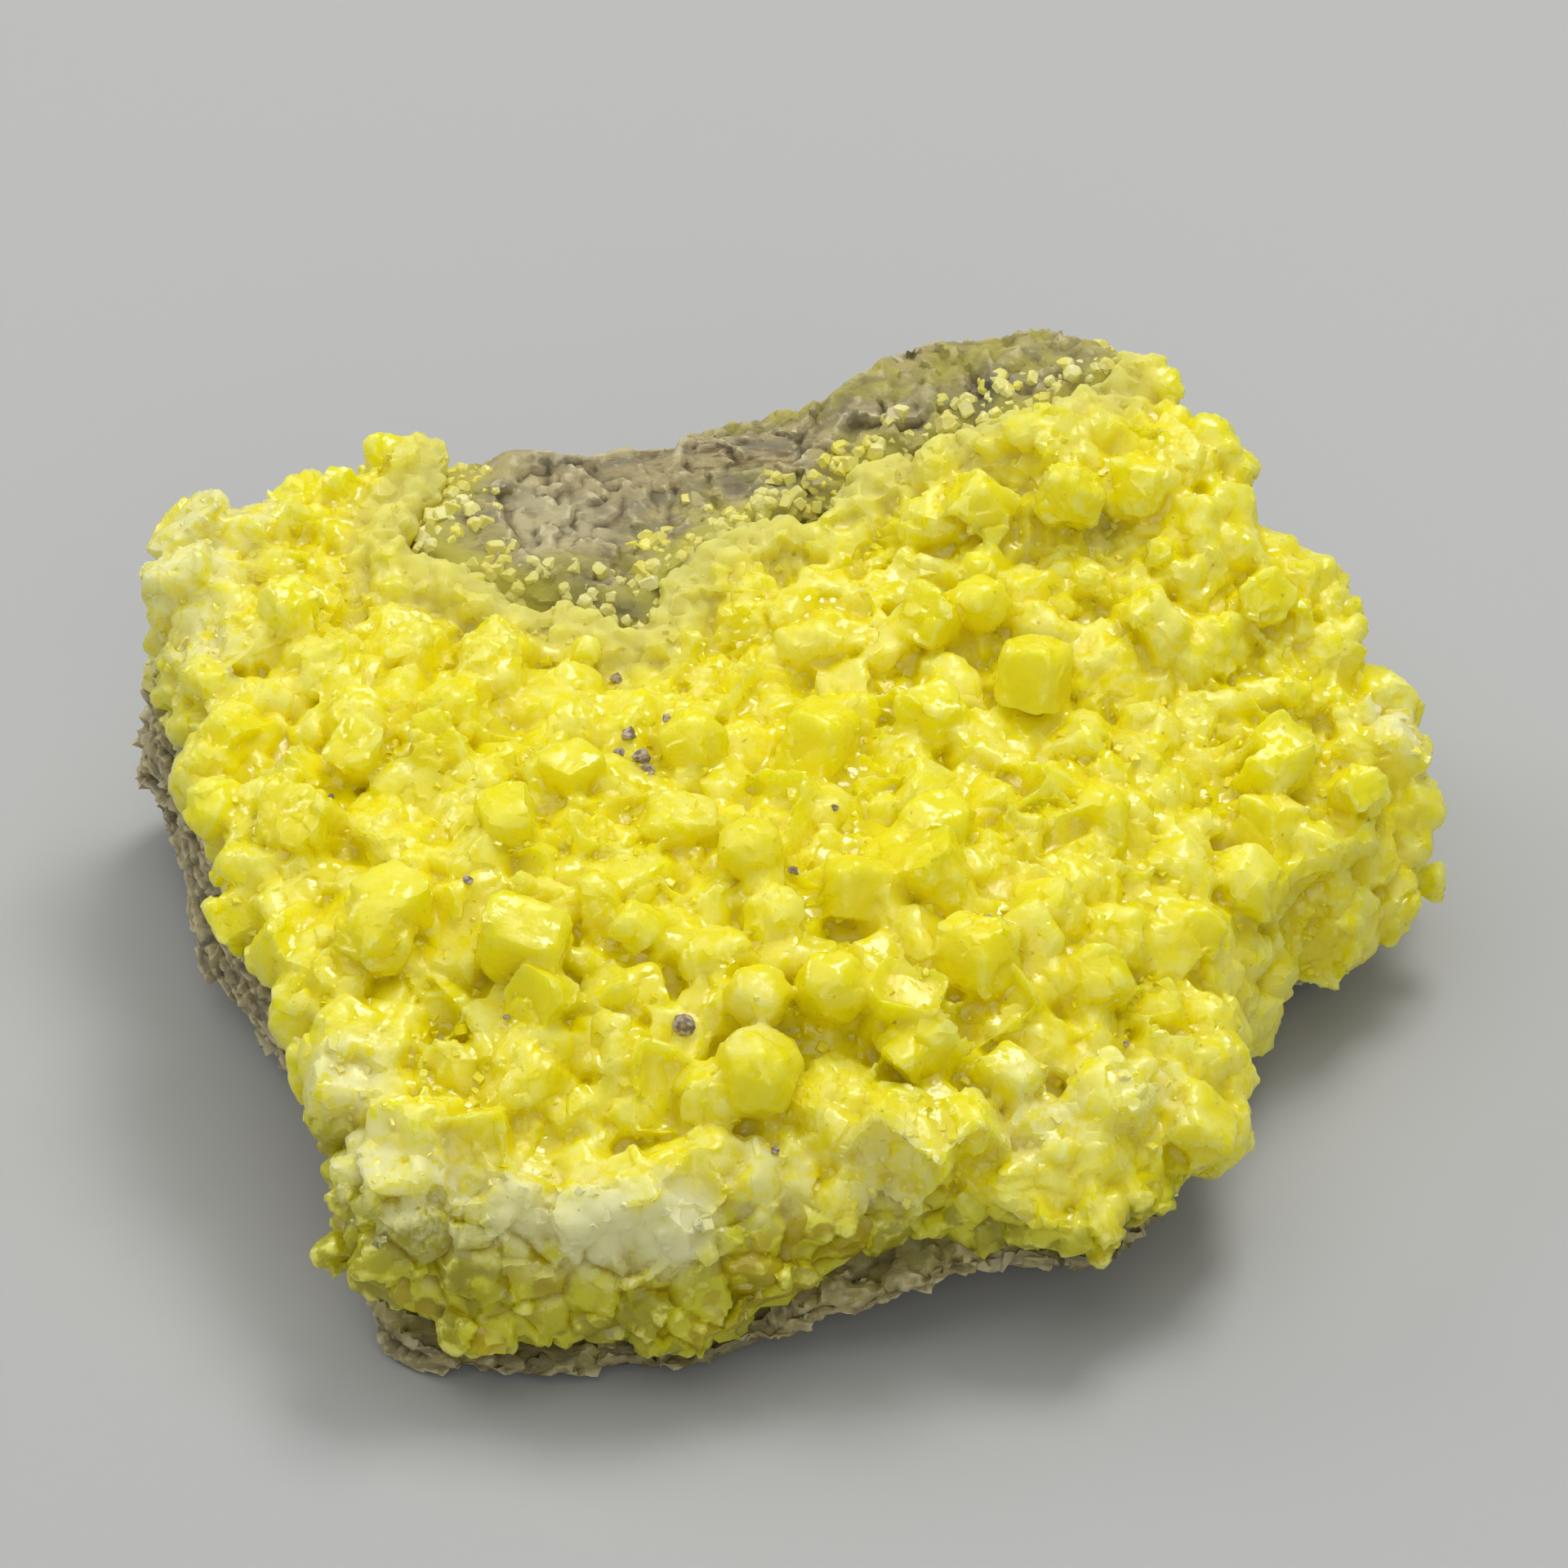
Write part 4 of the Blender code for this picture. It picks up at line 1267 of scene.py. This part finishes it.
@dataclass
class FringeCrystals:
    """Small dull crystals on the bare stone, where the crust thins out."""

    name: str = "fringe_crystals"
    size: tuple = (0.22, 0.6, 0.56, 4.0, 0.8, 0.35)  # radius low and high, spacing, density, tilt, sink
    seed: int = 41

    def build(self, stone: Object, material: Material) -> Object:
        """Scatters the crystals over the stone next to the crust.

        Args:
            stone: the piece that they sit on, with their zone stored on it.
            material: what they are dressed in.

        Returns:
            The piece, with the values that the finish reads.
        """
        forms = CrystalForms("fringe_forms", (Habit.BLOCK, Habit.TABLET, Habit.ROUND), 3, 13).build()
        mesh = CrystalScatter(self.name, forms, *self.size, self.seed, "fringe_zone").grow(stone, material)
        surface = Surface(mesh)
        places = working_mm(surface.points())
        surface.store("thin", np.clip(0.6 + 1.2 * noise_at(places, 3.5, 5.0), 0.15, 1.0))
        surface.store("powder", np.clip(0.3 + 1.2 * noise_at(places, 2.5, 8.0), 0.0, 0.7))
        surface.store("cavity", np.full(surface.count, LOOSE_CAVITY))
        surface.store("pale", np.ones(surface.count))
        return new_object(self.name, mesh)


@dataclass
class DirtGrains:
    """Loose grains of dirt that lie on the crystals."""

    name: str = "dirt_grains"
    grains: tuple = (
        (-5.9, 11.7, 0.62), (-8.6, 33.0, 0.5), (-9.3, 35.0, 0.42), (-8.0, 31.7, 0.45), (-9.9, 33.4, 0.34),
        (-10.2, 42.4, 0.34), (-7.0, 34.2, 0.28), (-2.6, 17.8, 0.30), (-0.6, 4.6, 0.26), (0.5, 22.6, 0.32),
        (-18.5, 20.4, 0.26), (-16.0, 12.0, 0.2), (12.0, 20.0, 0.2), (20.0, 15.0, 0.22), (9.0, 33.0, 0.2),
        (-27.0, 30.0, 0.2), (25.0, 33.0, 0.22), (3.0, 28.5, 0.2),
    )
    unevenness: float = 1.3
    flatness: float = 0.75
    seed: int = 31

    def build(self, crust: Object, material: Material) -> Object:
        """Lays each grain on the crust below its plan point.

        Args:
            crust: the piece that they lie on.
            material: what they are dressed in.

        Returns:
            The piece.
        """
        chance = random.Random(self.seed)
        tree = tree_of(crust.data)
        bm = bmesh.new()
        for x, y, radius in self.grains:
            point, normal, _, _ = tree.ray_cast(to_frame((x, y, ABOVE)), Vector((0, 0, -1)))
            lump = bmesh.ops.create_icosphere(bm, subdivisions=2, radius=radius * MM)["verts"]
            shape = np.array([vertex.co / (radius * MM) for vertex in lump])
            sizes = 1.0 + self.unevenness * noise_at(shape, 0.8, chance.uniform(0, 50))
            for vertex, size in zip(lump, sizes):
                vertex.co *= size
                vertex.co.z *= self.flatness
                vertex.co += point + normal * radius * 0.35 * MM
        mesh = bpy.data.meshes.new(self.name)
        bm.to_mesh(mesh)
        bm.free()
        mesh.materials.append(material)
        return new_object(self.name, mesh)


@dataclass
class Studio:
    """The floor, the lights and the camera."""

    target: tuple = (0.0, 38.8, 14.0)
    distance: float = 420.0
    elevation: float = 38.0
    lens: float = 157.5
    sensor: float = 36.0
    floor_half: float = 3.0  # metres
    aim: tuple = (0.0, 0.0, 0.012)  # metres, as the lamps' places and sizes are
    lamps: tuple = (
        ("key", (0.14, 0.26, 0.58), 0.24, 1.85), ("overhead", (-0.10, 0.05, 0.80), 1.00, 2.9),
        ("side", (-0.50, 0.25, 0.36), 0.20, 0.7), ("front", (0.15, -0.70, 0.45), 0.60, 1.4),
    )
    sky: tuple = (0.9, 0.95, 1.0, 1.0)
    sky_strength: float = 0.28
    bounces: int = 6
    diffuse_bounces: int = 3

    def floor(self) -> Object:
        """Makes the plain floor that the specimen rests on."""
        mesh = bpy.data.meshes.new("floor")
        half = self.floor_half
        corners = [(-half, -half, 0), (half, -half, 0), (half, half, 0), (-half, half, 0)]
        mesh.from_pydata(corners, [], [(0, 1, 2, 3)])
        mesh.materials.append(FloorFinish().build())
        floor = new_object("floor", mesh)
        return floor

    def lights(self) -> None:
        """Hangs a soft light above and behind, and three fills."""
        for name, place, size, power in self.lamps:
            data = bpy.data.lights.new(name, "AREA")
            data.size = size
            data.energy = power
            lamp = bpy.data.objects.new(name, data)
            lamp.location = place
            lamp.rotation_euler = (Vector(self.aim) - lamp.location).to_track_quat("-Z", "Y").to_euler()
            bpy.context.scene.collection.objects.link(lamp)
        world = bpy.data.worlds.new("studio")
        world.use_nodes = True
        background = world.node_tree.nodes["Background"].inputs
        background["Color"].default_value = self.sky
        background["Strength"].default_value = self.sky_strength
        scene = bpy.context.scene
        scene.world = world
        scene.view_settings.view_transform = "Standard"
        scene.cycles.max_bounces = self.bounces
        scene.cycles.diffuse_bounces = self.diffuse_bounces

    def camera(self) -> Object:
        """Sets the camera up and makes it the scene's."""
        data = bpy.data.cameras.new("camera")
        data.sensor_width = self.sensor
        data.lens = self.lens
        data.clip_start = 0.01
        camera = bpy.data.objects.new("camera", data)
        turn = math.radians(self.elevation)
        looking = Vector((0.0, math.cos(turn), -math.sin(turn)))
        camera.location = to_frame(self.target) - looking * self.distance * MM
        camera.rotation_euler = looking.to_track_quat("-Z", "Y").to_euler()
        bpy.context.scene.collection.objects.link(camera)
        bpy.context.scene.camera = camera
        return camera


def register(piece: Object, slot: str, *replaced: str) -> None:
    """Tells the frame what a piece rides on and stands for."""
    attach(piece, BODY)
    if replaced:
        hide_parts(*replaced)
    piece.data.calc_loop_triangles()
    log.info("%s: %d triangles", piece.name, len(piece.data.loop_triangles))


def main() -> None:
    """Builds the specimen's pieces in order, then the studio."""
    logging.basicConfig(level=logging.INFO, format="%(name)s: %(message)s")
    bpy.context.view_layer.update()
    studio = Studio()
    studio.camera()
    sulfur = SulfurFinish().build()
    stone = MatrixStone().build(LimestoneFinish().build())
    register(stone, "limestone", STONE_NODE)
    crust = SulfurCrust().build(sulfur)
    register(crust, "native_sulfur", CRUST_NODE)
    loose = SulfurFinish("sugary_sulfur", 0.25, 0.0).build()
    register(SugarCrystals().build(crust, loose), "native_sulfur")
    register(FringeCrystals().build(stone, loose), "native_sulfur")
    dirt = DirtGrains().build(crust, DirtFinish().build())
    register(dirt, "limestone")
    studio.floor()
    studio.lights()


if __name__ == "__main__":
    main()
